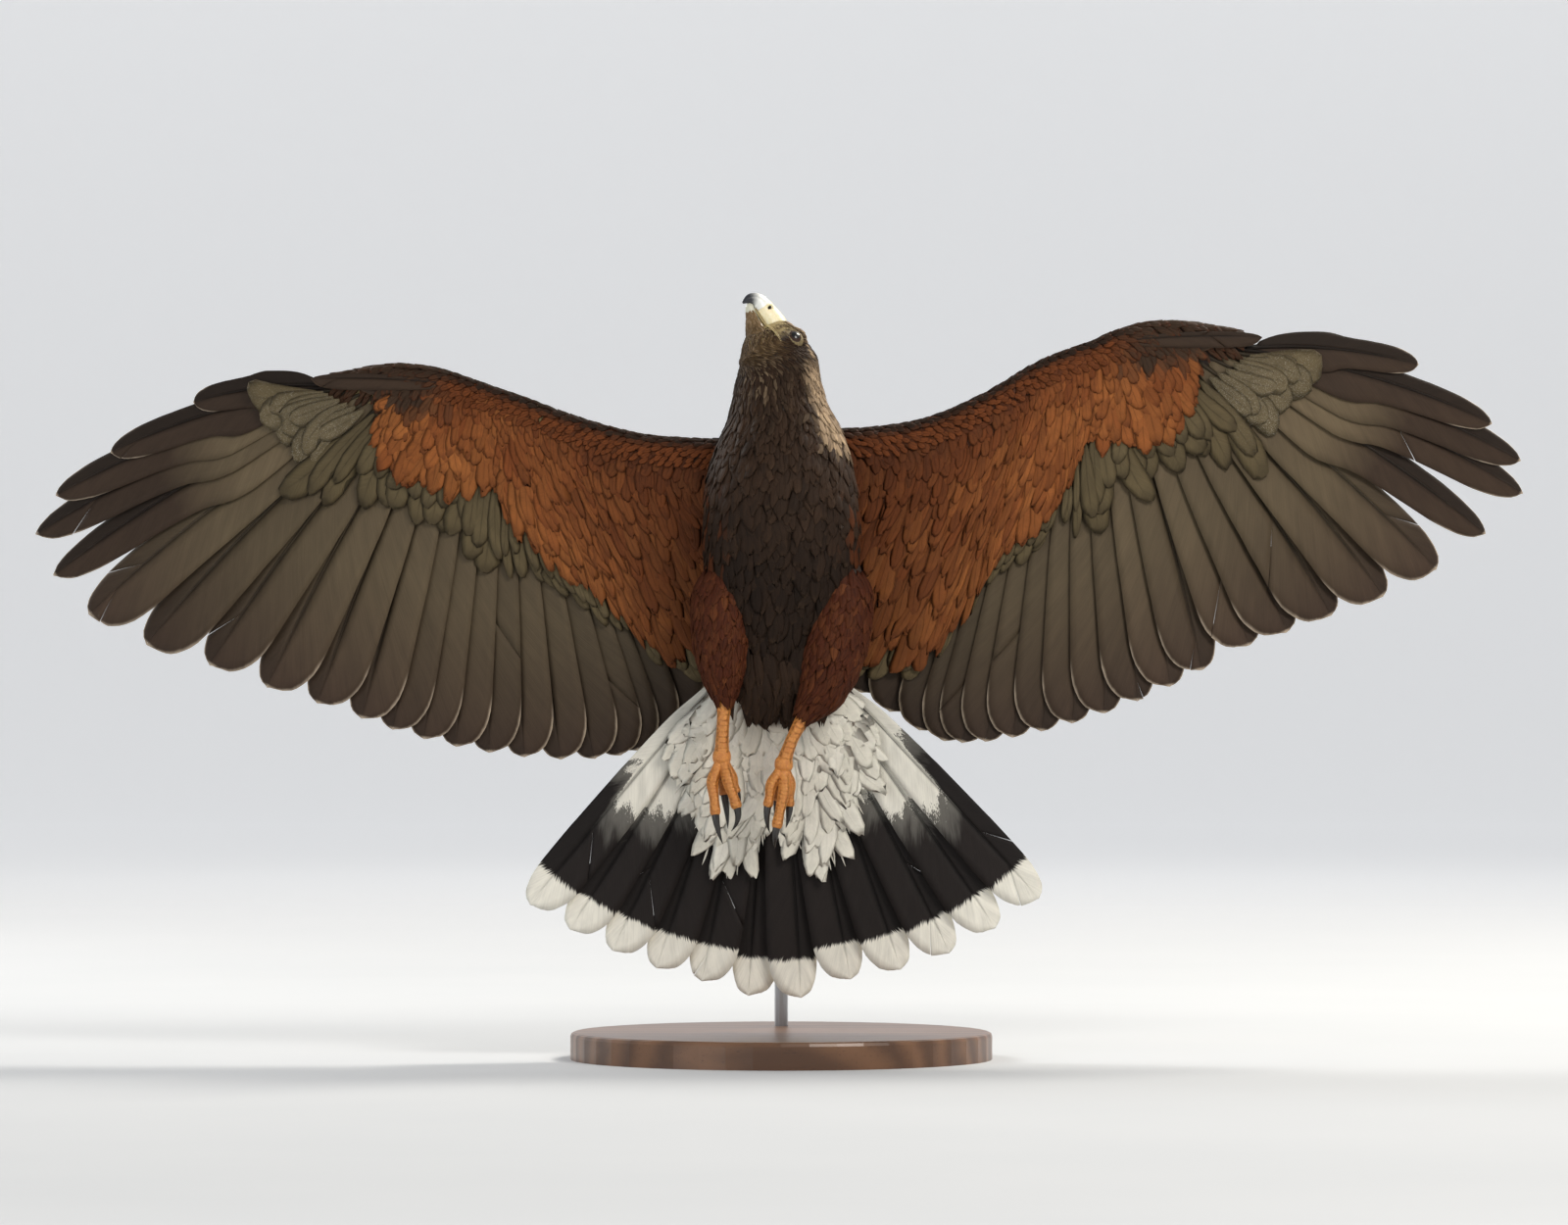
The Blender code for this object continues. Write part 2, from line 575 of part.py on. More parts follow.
def make_wing(name, wing):
    side, sheet = wing["side"], wing_sheet(wing)
    outline = [(0.0, 0.0), (0.08, 0.62), (0.30, 1.0), (0.66, 0.62), (1.0, 0.18)]
    rings = []
    for out, lead, rear, thick in wing["core"]:
        heights = [(lead + (rear - lead) * share, thick / 2 * part) for share, part in outline]
        loop = [(z, half) for z, half in heights] + [(z, -half) for z, half in reversed(heights[1:])]
        rings.append([Vector((out * side, sheet(out, z) + half, z)) for z, half in loop])
    arm = loft(name + "_arm", rings, hawk, "chestnut")

    def mirrored(point):
        return (point.x * side, point.y)

    pieces = []
    numbers = list(range(-SECONDARIES - TERTIALS, 0)) + list(range(1, PRIMARIES + 1))
    for number in numbers:
        root, way, length = feather_line(wing, number)
        widths = (curve_value(FLIGHT_WIDTHS, number, 1), curve_value(FLIGHT_WIDTHS, number, 2))
        rows = FINGER_ROWS if number >= FINGERED_FROM else BROAD_ROWS
        bow = 0.012 + 0.003 * max(0, number)
        pieces.append(vane("flight", mirrored(root), mirrored(root + way * length), side, bow, rows, widths,
                           sheet, FLIGHT_TILT, 0.0, True))
    for (first, last, step), lift, ahead, width, lengths in TIERS:
        for number in range(first, last + 1, step):
            root, way, _ = feather_line(wing, number)
            start = root - way * ahead
            length = curve_value(lengths, number) * rng.uniform(0.97, 1.03)
            pieces.append(vane("covert", mirrored(start), mirrored(start + way * length), side, 0.01, COVERT_ROWS,
                               (width, width), sheet, COVERT_TILT, lift, False))
    for i, (x0, z0, x1, z1) in enumerate(wing["alula"]):
        pieces.append(vane("alula", (x0 * side, z0), (x1 * side, z1), side, 0.02, COVERT_ROWS,
                           (ALULA_WIDTH, ALULA_WIDTH), sheet, 0.05, -ALULA_LIFT + 0.0014 * i, False))
    fuse(arm, pieces)
    hand = bpy.data.objects.new(name + "_hand", arm.data.copy())
    hawk.objects.link(hand)
    cut(hand, wrist_box(wing, -1))
    cut(arm, wrist_box(wing, 1))
    clear_of_body(arm)


def tail_sheet(x, z):
    return TAIL_DEPTH + TAIL_LEAN * (0.25 - z) - TAIL_CUP * x * x


def make_tail():
    across, deep = Vector((1, 0, 0)), Vector((0, 1, 0))
    rings = [ring(Vector((0, tail_sheet(0, z), z)), across, deep, width, thick, 16) for z, width, thick in TAIL_CORE]
    tail = loft("tail", rings, hawk, "black and white")
    centre = Vector(FAN_POINT)
    pieces = []
    for side in (1, -1):
        for pair in range(TAIL_PAIRS):
            angle = math.radians(TAIL_FIRST + TAIL_STEP[side] * pair)
            way = Vector((math.sin(angle) * side, -math.cos(angle)))
            reach = TAIL_REACH * rng.uniform(0.985, 1.0)
            top = side < 0 and pair == 0
            pieces.append(vane("rectrix", centre + way * TAIL_ROOT, centre + way * reach, side, 0.004, BROAD_ROWS,
                               TAIL_WIDTHS, tail_sheet, 0.0 if top else FLIGHT_TILT, -0.0028 if top else 0.0, True))
    for lift, count, fan, start, end, width in TAIL_TIERS:
        for k in range(count):
            share = 2 * k / (count - 1) - 1
            side = 1 if share > 0 else -1
            angle = math.radians(fan * share)
            way = Vector((math.sin(angle), -math.cos(angle)))
            reach = end * (1 - 0.10 * share * share) * rng.uniform(0.97, 1.0)
            pieces.append(vane("tail covert", centre + way * start, centre + way * reach, side, 0.0, COVERT_ROWS,
                               (width, width), tail_sheet, COVERT_TILT, lift, False))
    fuse(tail, pieces)
    return clear_of_body(tail)


def make_leg(name, leg):
    down = Vector((0, 0, -1))
    clear_of_body(tube("thigh_" + name, leg["thigh"], 14, hawk, "chestnut", down, down))
    tube("tarsus_" + name, leg["tarsus"], 10, hawk, "orange skin", down, down)
    axes = (Vector((1, 0, 0)), Vector((0, 1, 0)), Vector((0, 0, 1)))
    palm = Vector(leg["palm"])
    foot = ball("foot_" + name, palm, (PALM_RADIUS, PALM_RADIUS * 0.8, PALM_RADIUS * 0.9), axes, hawk,
                "orange skin", parts=(12, 8))
    toes = []
    for toe, knuckle, end, claw_tip, radius in leg["toes"]:
        knuckle, end, claw_tip = Vector(knuckle), Vector(end), Vector(claw_tip)
        first, second = palm.lerp(knuckle, 0.55), knuckle.lerp(end, 0.55)
        rows = [(*palm, radius * 0.8), (*first, radius), (*knuckle, radius * 1.12), (*second, radius * 0.88),
                (*end, radius * 0.86)]
        toes.append(tube("toe", rows, 8, cutters))
        out = (end - second).normalized()
        hook = (claw_tip - end)
        bend = out * (hook.length * 0.45)
        start = end + out * GAP
        claw = []
        for t, share in ((0.0, 1.0), (0.3, 0.86), (0.6, 0.6), (0.85, 0.3), (1.0, 0.08)):
            point = start * (1 - t)**2 + (start + bend) * (2 * t * (1 - t)) + claw_tip * t * t
            claw.append((*point, CLAW_BASE * share))
        tube(f"claw_{name}_{toe}", claw, 8, hawk, "black horn", first=out)
    fuse(foot, toes)
    top = leg["tarsus"][-1]
    bm = bmesh.new()
    bmesh.ops.create_cone(bm, cap_ends=True, segments=12, radius1=0.02, radius2=0.02, depth=0.02)
    bmesh.ops.translate(bm, verts=bm.verts, vec=(top[0], top[1], top[2] - GAP + 0.01))
    cut(foot, place("foot top", bm, cutters))


def make_stand():
    bm = bmesh.new()
    bmesh.ops.create_cone(bm, cap_ends=True, segments=48, radius1=BASE_RADIUS, radius2=BASE_RADIUS,
                          depth=BASE_HEIGHT)
    bmesh.ops.translate(bm, verts=bm.verts, vec=(0, 0, BASE_HEIGHT / 2))
    rim = [e for e in bm.edges if all(abs(v.co.z - BASE_HEIGHT) < GAP for v in e.verts)]
    bmesh.ops.bevel(bm, geom=rim, offset=BASE_EDGE, segments=2, affect="EDGES", profile=0.5)
    base = place("stand_base", bm, hawk, "walnut")
    bm = bmesh.new()
    bmesh.ops.create_cone(bm, cap_ends=True, segments=24, radius1=ROD_RADIUS + GAP, radius2=ROD_RADIUS + GAP,
                          depth=2 * (ROD_SOCKET + GAP))
    bmesh.ops.translate(bm, verts=bm.verts, vec=(0, ROD_BACK, BASE_HEIGHT))
    cut(base, place("rod hole", bm, cutters))

    line = bpy.data.curves.new("stand_rod", "CURVE")
    line.dimensions = "3D"
    line.bevel_depth = ROD_RADIUS
    line.bevel_resolution = 3
    line.use_fill_caps = True
    steps = 8
    path = [(0, ROD_BACK, BASE_HEIGHT - ROD_SOCKET)]
    for k in range(steps + 1):
        a = math.pi / 2 * k / steps
        path.append((0, ROD_BACK - ROD_BEND * (1 - math.cos(a)), ROD_ENTRY - ROD_BEND * (1 - math.sin(a))))
    path.append((0, 0.020, ROD_ENTRY))
    spline = line.splines.new("POLY")
    spline.points.add(len(path) - 1)
    for point, at in zip(spline.points, path):
        point.co = (*at, 1.0)
    wire = bpy.data.objects.new("rod line", line)
    cutters.objects.link(wire)
    bpy.context.view_layer.update()
    mesh = bpy.data.meshes.new_from_object(wire.evaluated_get(bpy.context.evaluated_depsgraph_get()))
    bpy.data.objects.remove(wire)
    bm = bmesh.new()
    bm.from_mesh(mesh)
    bmesh.ops.remove_doubles(bm, verts=bm.verts, dist=0.00001)
    clear_of_body(place("stand_rod", bm, hawk, "steel"))


for old in list(bpy.data.objects):
    bpy.data.objects.remove(old)
hawk = collection("harris hawk")
cutters = collection("cutters")
make_torso()
make_neck()
make_head()
make_bill()
make_eyes()
for wing_name, wing_sizes in WINGS.items():
    make_wing("wing_" + wing_name, wing_sizes)
make_tail()
for leg_name, leg_sizes in LEGS.items():
    make_leg(leg_name, leg_sizes)
make_stand()
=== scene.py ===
import math
import bpy
import bmesh
import numpy as np
from mathutils import Matrix, Vector


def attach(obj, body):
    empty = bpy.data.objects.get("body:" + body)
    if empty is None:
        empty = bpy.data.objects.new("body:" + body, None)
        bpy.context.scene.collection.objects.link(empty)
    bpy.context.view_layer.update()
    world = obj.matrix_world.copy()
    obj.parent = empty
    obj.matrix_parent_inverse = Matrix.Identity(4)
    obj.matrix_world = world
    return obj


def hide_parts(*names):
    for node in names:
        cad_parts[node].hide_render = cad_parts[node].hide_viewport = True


# Soaring Harris's hawk on its stand: one skin, feathers laid over it, head, feet and base.
# The hawk hangs head up, belly toward -Y, its left wing toward +X.
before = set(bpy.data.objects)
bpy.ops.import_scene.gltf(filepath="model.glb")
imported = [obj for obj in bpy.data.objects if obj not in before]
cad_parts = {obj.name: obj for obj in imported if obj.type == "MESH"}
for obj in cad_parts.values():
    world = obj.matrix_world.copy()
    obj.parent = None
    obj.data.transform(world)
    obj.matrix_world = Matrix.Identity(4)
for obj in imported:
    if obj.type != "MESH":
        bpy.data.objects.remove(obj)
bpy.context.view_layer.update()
rng = np.random.default_rng(7)


# Small tools

def curveAt(rows, at, column=1):
    # smooth curve through rows sorted by their first value
    if at <= rows[0][0]:
        return rows[0][column]
    if at >= rows[-1][0]:
        return rows[-1][column]
    i = max(k for k in range(len(rows) - 1) if rows[k][0] <= at)

    def slope(k):
        low, high = rows[max(k - 1, 0)], rows[min(k + 1, len(rows) - 1)]
        return (high[column] - low[column]) / (high[0] - low[0])

    span = rows[i + 1][0] - rows[i][0]
    s = (at - rows[i][0]) / span
    return ((2 * s**3 - 3 * s**2 + 1) * rows[i][column] + (s**3 - 2 * s**2 + s) * span * slope(i)
            + (3 * s**2 - 2 * s**3) * rows[i + 1][column] + (s**3 - s**2) * span * slope(i + 1))


def curveValues(rows, places, column=1):
    return np.array([curveAt(rows, at, column) for at in places])


def unit(v):
    return v / np.maximum(np.linalg.norm(v, axis=-1, keepdims=True), 1e-9)


def smoothStep(low, high, x):
    s = np.clip((x - low) / (high - low), 0, 1)
    return s * s * (3 - 2 * s)


def mixRows(a, b, share):
    share = np.asarray(share)[..., None]
    return np.asarray(a) * (1 - share) + np.asarray(b) * share


def runningLength(points):
    return np.concatenate([[0], np.cumsum(np.linalg.norm(np.diff(points, axis=0), axis=1))])


def fullTurn(steps):
    return np.linspace(0, 2 * math.pi, steps, endpoint=False)


# Mesh pieces. A part is points, four-cornered faces and one value a point for each field.

colourFields = ("tint", "rim")


def joinParts(parts):
    joined = {"fields": {}}
    offsets = np.cumsum([0] + [len(p["points"]) for p in parts[:-1]])
    joined["points"] = np.concatenate([p["points"] for p in parts])
    joined["faces"] = np.concatenate([p["faces"] + o for p, o in zip(parts, offsets)])
    for key in parts[0]["fields"]:
        joined["fields"][key] = np.concatenate([p["fields"][key] for p in parts])
    return joined


def makeMesh(name, part):
    mesh = bpy.data.meshes.new(name)
    mesh.from_pydata(part["points"].tolist(), [], part["faces"].tolist())
    return mesh


def addObject(name, data):
    made = bpy.data.objects.new(name, data)
    bpy.context.scene.collection.objects.link(made)
    return made


def paintPoints(mesh, key, colours):
    layer = mesh.attributes.new(key, "FLOAT_COLOR", "POINT")
    rgba = np.concatenate([colours, np.ones((len(colours), 1))], axis=1)
    layer.data.foreach_set("color", rgba.astype(np.float32).ravel())


def makePiece(name, part, look, stands=()):
    mesh = makeMesh(name, part)
    mesh.shade_smooth()
    corner = np.empty(len(mesh.loops), np.int32)
    mesh.loops.foreach_get("vertex_index", corner)
    for key, values in part.get("fields", {}).items():
        if key == "bake":
            layer = mesh.uv_layers.new(name="OFBake")
            layer.data.foreach_set("uv", values[corner].astype(np.float32).ravel())
        elif key in colourFields:
            paintPoints(mesh, key, values)
        else:
            layer = mesh.attributes.new(key, "FLOAT", "POINT")
            layer.data.foreach_set("value", values.astype(np.float32))
    mesh.materials.append(look)
    finishPiece(addObject(name, mesh), stands)


def finishPiece(piece, stands=()):
    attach(piece, "root")
    if stands:
        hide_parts(*stands)
    print("made", piece.name, len(piece.data.polygons), "faces")


def gridPart(grid, wrap=True, caps=True):
    # closed or open skin over a grid of points, rows by columns
    rows, columns = grid.shape[:2]
    ids = np.arange(rows * columns).reshape(rows, columns)
    after = np.roll(ids, -1, 1) if wrap else ids[:, 1:]
    here = ids if wrap else ids[:, :-1]
    quads = np.stack([here[:-1], after[:-1], after[1:], here[1:]], -1).reshape(-1, 4)
    points = grid.reshape(-1, 3)
    if caps and wrap:
        # each end is a fan of four-cornered faces round a point in its middle
        points = np.concatenate([points, [grid[0].mean(0), grid[-1].mean(0)]])
        for ring, centre, way in ((ids[0], rows * columns, -1), (ids[-1], rows * columns + 1, 1)):
            corners = [np.roll(ring, -k)[::2] for k in range(3)][::way]
            quads = np.concatenate([quads, np.stack([*corners, np.full(columns // 2, centre)], -1)])
    return {"points": points, "faces": quads, "fields": {}}


# Surfaces that feathers are laid on: rows run the way the coat lies

def makeSurface(grid, outward, wrap=False):
    grid = np.asarray(grid, float)
    along = np.gradient(grid, axis=0)
    across = (np.roll(grid, -1, 1) - np.roll(grid, 1, 1)) / 2 if wrap else np.gradient(grid, axis=1)
    normal = unit(np.cross(along, across))
    sign = 1.0 if (normal * outward).sum() > 0 else -1.0
    return {"grid": grid, "normal": normal * sign, "wrap": wrap, "sign": sign}


def roundSurface(grid):
    # a closed tube's surface, facing away from its middle line
    return makeSurface(grid, grid - grid.mean(1, keepdims=True), wrap=True)


def sampleGrid(values, r, c, wrap, stretch):
    rows, columns = values.shape[:2]
    i = np.clip(np.floor(r).astype(int), 0, rows - 2)
    down = (r - i)[..., None]
    j = np.floor(c).astype(int)
    if wrap:
        side, j, k = (c - j)[..., None], j % columns, (j + 1) % columns
    else:
        j = np.clip(j, 0, columns - 2)
        side, k = (c - j)[..., None], j + 1
    if not stretch:
        down, side = np.clip(down, 0, 1), np.clip(side, 0, 1)
    near = values[i, j] * (1 - down) + values[i + 1, j] * down
    far = values[i, k] * (1 - down) + values[i + 1, k] * down
    return near * (1 - side) + far * side


def surfacePoint(surface, r, c):
    return sampleGrid(surface["grid"], r, c, surface["wrap"], True)


def rowSeeds(surface, r, spacing, offset, columns=None):
    # evenly spaced columns along one row of a surface
    last = surface["grid"].shape[1] - (0 if surface["wrap"] else 1)
    start, end = columns or (0, last)
    fine = np.linspace(start, end, 240)
    line = surfacePoint(surface, np.full(240, float(r)), fine)
    run = runningLength(line)
    count = max(2, round(run[-1] / spacing))
    return np.interp((np.arange(count) + offset) * run[-1] / count, run, fine)


# outlines of the laid feathers: share of the length, share of the width
coverShape = [(0.0, 0.2), (0.14, 0.52), (0.32, 0.82), (0.55, 1.0), (0.78, 0.96), (0.92, 0.7), (1.0, 0.3)]
tuftShape = [(0.0, 0.25), (0.3, 0.85), (0.62, 1.0), (0.86, 0.66), (1.0, 0.2)]
plumeShape = [(0.0, 0.25), (0.22, 0.74), (0.5, 1.0), (0.76, 0.94), (0.92, 0.66), (1.0, 0.24)]
wispShape = [(0.0, 0.22), (0.2, 0.66), (0.45, 1.0), (0.68, 0.9), (0.86, 0.56), (1.0, 0.16)]


def layFeathers(surface, seeds, shape=coverShape, ragged=0.07, torn=0.07, shingle=0.07):
    # one closed, arched vane a seed, following the surface
    shape = np.array(shape)
    share, wide = shape[:, 0], shape[:, 1]
    sides = np.array([-1.0, -0.5, 0.0, 0.5, 1.0, 0.0])
    count, rows = len(seeds["r"]), len(shape)
    r0, c0, wrap = seeds["r"], seeds["c"], surface["wrap"]

    def stepSize(down, across):
        ahead, behind = (surfacePoint(surface, r0 + k * down, c0 + k * across) for k in (0.5, -0.5))
        size = np.linalg.norm(ahead - behind, axis=1)
        # where the surface pinches, a step along it still counts as a third of the usual one
        return np.maximum(size, np.median(size) * 0.35)[:, None, None]

    rowSize, columnSize = stepSize(1, 0), stepSize(0, 1)
    half = seeds["width"][:, None] / 2 * wide * rng.uniform(1 - ragged, 1 + ragged, (count, rows))
    side = half[..., None] * sides * rng.uniform(1 - ragged, 1 + ragged, (count, rows, 6))
    fray = rng.uniform(-1, 0.4, (count, rows, 6)) * torn * smoothStep(0.55, 1.0, share)[:, None]
    along = seeds["length"][:, None, None] * (share[:, None] + fray)
    turn = (seeds["turn"][:, None] + seeds["bend"][:, None] * share)[..., None]
    r = r0[:, None, None] + (along * np.cos(turn) - side * np.sin(turn)) / rowSize
    c = c0[:, None, None] + (along * np.sin(turn) + side * np.cos(turn)) / columnSize
    base = sampleGrid(surface["grid"], r, c, wrap, True)
    normal = unit(sampleGrid(surface["normal"], r, c, wrap, False))
    lift, tilt, arch = (seeds[key][:, None, None] for key in ("lift", "tilt", "arch"))
    halfWide = half[..., None]
    height = lift + tilt * along + arch * halfWide * (1 - sides**2) + shingle * halfWide * sides
    thick = 0.00022 * (1 - 0.6 * share)
    height[..., 5] -= thick
    points = (base + normal * height[..., None]).reshape(-1, 3)
    ids = np.arange(count * rows * 6).reshape(count, rows, 6)
    after = np.roll(ids, -1, 2)
    skin = np.stack([ids[:, :-1], after[:, :-1], after[:, 1:], ids[:, 1:]], -1).reshape(-1, 4)
    ends = [ids[:, 0][:, k] for k in ([0, 5, 2, 1], [2, 5, 4, 3])]
    ends += [ids[:, -1][:, k] for k in ([0, 1, 2, 5], [2, 3, 4, 5])]
    faces = np.concatenate([skin] + ends)
    if surface["sign"] > 0:
        faces = faces[:, ::-1]

    def spread(values):
        return np.repeat(values, rows * 6, axis=0)

    # each feather bakes to a small patch round its own place on the coat
    patch = 0.0015 * np.stack(np.broadcast_arrays(sides, share[:, None] * 2 - 1), -1)
    bake = (seeds["home"][:, None, None, :] + patch[None]).reshape(-1, 2)
    fields = {
        "tint": spread(seeds["tint"]),
        "rim": spread(seeds["rim"]),
        "share": np.tile(np.repeat(share, 6), count),
        "edge": np.tile(np.abs(sides), count * rows),
        "barb": (along - 1.3 * np.abs(side)).ravel(),
        "chance": spread(rng.uniform(0, 1, count)),
        "fleck": spread(seeds["fleck"]),
        "bake": bake,
    }
    return {"points": points, "faces": faces, "fields": fields}


def seedTable(r, c, length, width, tint, rim, home, tilt=0.16, lift=-0.0012, turn=0.1, bend=0.0, arch=0.22,
              fleck=0.0, vary=0.12, yaw=0.0, shades=0.12):
    # spreads single values over the seeds and varies them
    count = len(r)

    def full(value, spread):
        return np.broadcast_to(value, (count,)) * rng.uniform(1 - spread, 1 + spread, count)

    shade = rng.uniform(1 - shades, 1 + shades, (count, 1))
    return {
        "r": np.asarray(r, float), "c": np.asarray(c, float),
        "length": full(length, vary), "width": full(width, vary),
        "turn": yaw + rng.normal(0, 1, count) * turn, "bend": rng.normal(0, 1, count) * 0.08 + bend,
        "tilt": full(tilt, 0.35), "lift": full(lift, 0.3), "arch": full(arch, 0.3),
        "tint": np.broadcast_to(tint, (count, 3)) * shade, "rim": np.broadcast_to(rim, (count, 3)) * shade,
        "home": np.asarray(home, float), "fleck": np.broadcast_to(fleck, (count,)).astype(float),
    }


# Colours in linear light, as the plumage shows them

plumage = {
    "duskyHand": (0.04, 0.022, 0.012),
    "chinOlive": (0.17, 0.105, 0.045),
    "chestnut": (0.165, 0.045, 0.011),
    "chestnutPale": (0.265, 0.09, 0.023),
    "chestnutDark": (0.06, 0.017, 0.006),
    "chocolate": (0.021, 0.0108, 0.0056),
    "chocolateRim": (0.044, 0.025, 0.0135),
    "buff": (0.31, 0.22, 0.135),
    "olive": (0.096, 0.072, 0.036),
    "oliveRim": (0.02, 0.014, 0.008),
    "vaneBase": (0.098, 0.072, 0.041),
    "vaneTip": (0.046, 0.028, 0.018),
    "finger": (0.03, 0.018, 0.011),
    # pale rim of the flight feathers' tips: partly their own pale fringe, partly painted sunlight on the
    # trailing edge
    "paleRim": (0.48, 0.385, 0.285),
    "fleckGrey": (0.112, 0.086, 0.046),
    "backBrown": (0.042, 0.025, 0.015),
    "backRim": (0.095, 0.055, 0.031),
    "white": (0.76, 0.73, 0.64),
    "whiteShade": (0.56, 0.53, 0.43),
    "black": (0.012, 0.009, 0.008),
}


# Materials

def makeShader(name):
    made = bpy.data.materials.new(name)
    made.use_nodes = True
    tree = made.node_tree
    return made, tree, tree.nodes["Principled BSDF"]


def addNode(tree, kind, inputs, output=0, **settings):
    made = tree.nodes.new(kind)
    for key, value in settings.items():
        setattr(made, key, value)
    for key, value in inputs.items():
        if isinstance(value, bpy.types.NodeSocket):
            tree.links.new(value, made.inputs[key])
        else:
            made.inputs[key].default_value = value
    return made.outputs[output]


def objectPlaces(tree):
    return addNode(tree, "ShaderNodeTexCoord", {}, output=3)


def calc(tree, operation, a, b):
    return addNode(tree, "ShaderNodeMath", {0: a, 1: b}, operation=operation)


def times(tree, a, b):
    return calc(tree, "MULTIPLY", a, b)


def plus(tree, a, b):
    return calc(tree, "ADD", a, b)


def minus(tree, a, b):
    return calc(tree, "SUBTRACT", a, b)


def fadeIn(tree, value, low, high):
    return addNode(tree, "ShaderNodeMapRange", {"Value": value, "From Min": low, "From Max": high},
                   interpolation_type="SMOOTHSTEP")


def blendColour(tree, share, a, b, how="MIX"):
    a, b = ((*colour, 1.0) if isinstance(colour, tuple) else colour for colour in (a, b))
    return addNode(tree, "ShaderNodeMix", {0: share, 6: a, 7: b}, output=2, data_type="RGBA", blend_type=how)


def field(tree, name, colour=False):
    return addNode(tree, "ShaderNodeAttribute", {}, output=0 if colour else 2, attribute_name=name)


def noise(tree, vector, scale, detail=3.0, rough=0.55):
    return addNode(tree, "ShaderNodeTexNoise",
                   {"Vector": vector, "Scale": scale, "Detail": detail, "Roughness": rough})


def setShader(tree, shader, colour, sockets):
    tree.links.new(colour, shader.inputs["Base Color"])
    for key, value in sockets.items():
        shader.inputs[key].default_value = value


def addBump(tree, shader, height, strength, distance):
    bump = addNode(tree, "ShaderNodeBump", {"Height": height, "Strength": strength, "Distance": distance})
    tree.links.new(bump, shader.inputs["Normal"])


def featherLook(name, pitch, rimFrom=0.62, rimStrength=0.85, rimStart=(0.15, 0.55), tipFrom=0.8,
                shaftDark=0.55, stripe=0.22, bands=None, shake=0.35, gloss=0.14):
    # barbs run in stripes off the shaft, in the feather's own places
    made, tree, shader = makeShader(name)
    tint, rim = field(tree, "tint", True), field(tree, "rim", True)
    share, edge, barb, chance = (field(tree, key) for key in ("share", "edge", "barb", "chance"))
    fleck = field(tree, "fleck")

    def ownPlaces(scales):
        inputs = {i: times(tree, value, scales[i]) for i, value in enumerate((barb, edge, chance))}
        return addNode(tree, "ShaderNodeCombineXYZ", inputs)

    own = ownPlaces((60.0, 0.8, 90.0))
    cloud = noise(tree, own, 1.6)
    fine = ownPlaces((1.0 / pitch, 0.6, 70.0))
    barbs = noise(tree, fine, 1.0, 2.0)
    wobble = times(tree, minus(tree, cloud, 0.5), shake)
    outer = times(tree, fadeIn(tree, plus(tree, edge, wobble), rimFrom, 1.02),
                 fadeIn(tree, share, *rimStart))
    tip = fadeIn(tree, plus(tree, share, times(tree, wobble, 2.4 * (1 - tipFrom))), tipFrom, 1.0)
    rimMask = times(tree, calc(tree, "MAXIMUM", outer, tip), rimStrength)
    if bands:
        # white root with dark specks, black band, white end
        edgeShake = times(tree, minus(tree, barbs, 0.5), bands["ragged"])
        at = plus(tree, share, edgeShake)
        whiteTip = fadeIn(tree, at, bands["tipFrom"] - 0.006, bands["tipFrom"] + 0.006)
        inFromRoot = minus(tree, fleck, plus(tree, at, times(tree, wobble, 0.5)))
        whiteRoot = fadeIn(tree, inFromRoot, -0.05, 0.05)
        speck = plus(tree, noise(tree, own, 26.0, 2.0), fadeIn(tree, inFromRoot, 0.2, 0.0))
        speck = fadeIn(tree, minus(tree, speck, 0.5), 0.56, 0.66)
        speckled = times(tree, whiteRoot, minus(tree, 1.0, times(tree, speck, 0.85)))
        colour = blendColour(tree, speckled, tint, plumage["white"])
        colour = blendColour(tree, whiteTip, colour, plumage["white"])
    else:
        colour = blendColour(tree, rimMask, tint, rim)
        dots = times(tree, fadeIn(tree, noise(tree, own, 34.0, 1.0), 0.63, 0.72), times(tree, fleck, 0.6))
        colour = blendColour(tree, dots, colour, plumage["white"])
    shaft = times(tree, fadeIn(tree, edge, 0.1, 0.02), fadeIn(tree, share, 1.0, 0.75))
    shadeAt = plus(tree, times(tree, cloud, 0.5), times(tree, barbs, stripe * 2))
    level = minus(tree, plus(tree, shadeAt, 0.75 - stripe), times(tree, shaft, 1 - shaftDark))
    # darker toward the root, paler toward the tip: painted shade where the feathers overlap
    level = times(tree, level, plus(tree, 0.8, times(tree, share, 0.26)))
    grey = addNode(tree, "ShaderNodeCombineColor", {0: level, 1: level, 2: level})
    colour = blendColour(tree, 1.0, colour, grey, "MULTIPLY")
    setShader(tree, shader, colour, {"Roughness": 0.68, "Specular IOR Level": gloss})
    addBump(tree, shader, plus(tree, barbs, times(tree, shaft, 0.8)), 0.55, 0.00035)
    return made


coverLook = featherLook("contour feathers", 0.001, rimFrom=0.74, rimStrength=0.75)
softLook = featherLook("soft feathers", 0.0014, rimStrength=0.6, shaftDark=0.85)
liningLook = featherLook("lining feathers", 0.001, rimFrom=0.82, rimStrength=0.55, shaftDark=0.72)
plumeLook = featherLook("plumes", 0.0012, rimFrom=0.85, rimStrength=0.35, shaftDark=0.95, stripe=0.1)
flightLook = featherLook("flight feathers", 0.0011, rimFrom=0.93, rimStart=(0.82, 0.9), rimStrength=1.0,
                         tipFrom=0.988, stripe=0.16, shake=0.05, gloss=0.2)
tailLook = featherLook("tail feathers", 0.0011, bands={"tipFrom": 0.872, "ragged": 0.05}, stripe=0.14,
                       gloss=0.2)


# Body and head shape, as in the solids: height, shift right and back, half width, half depth

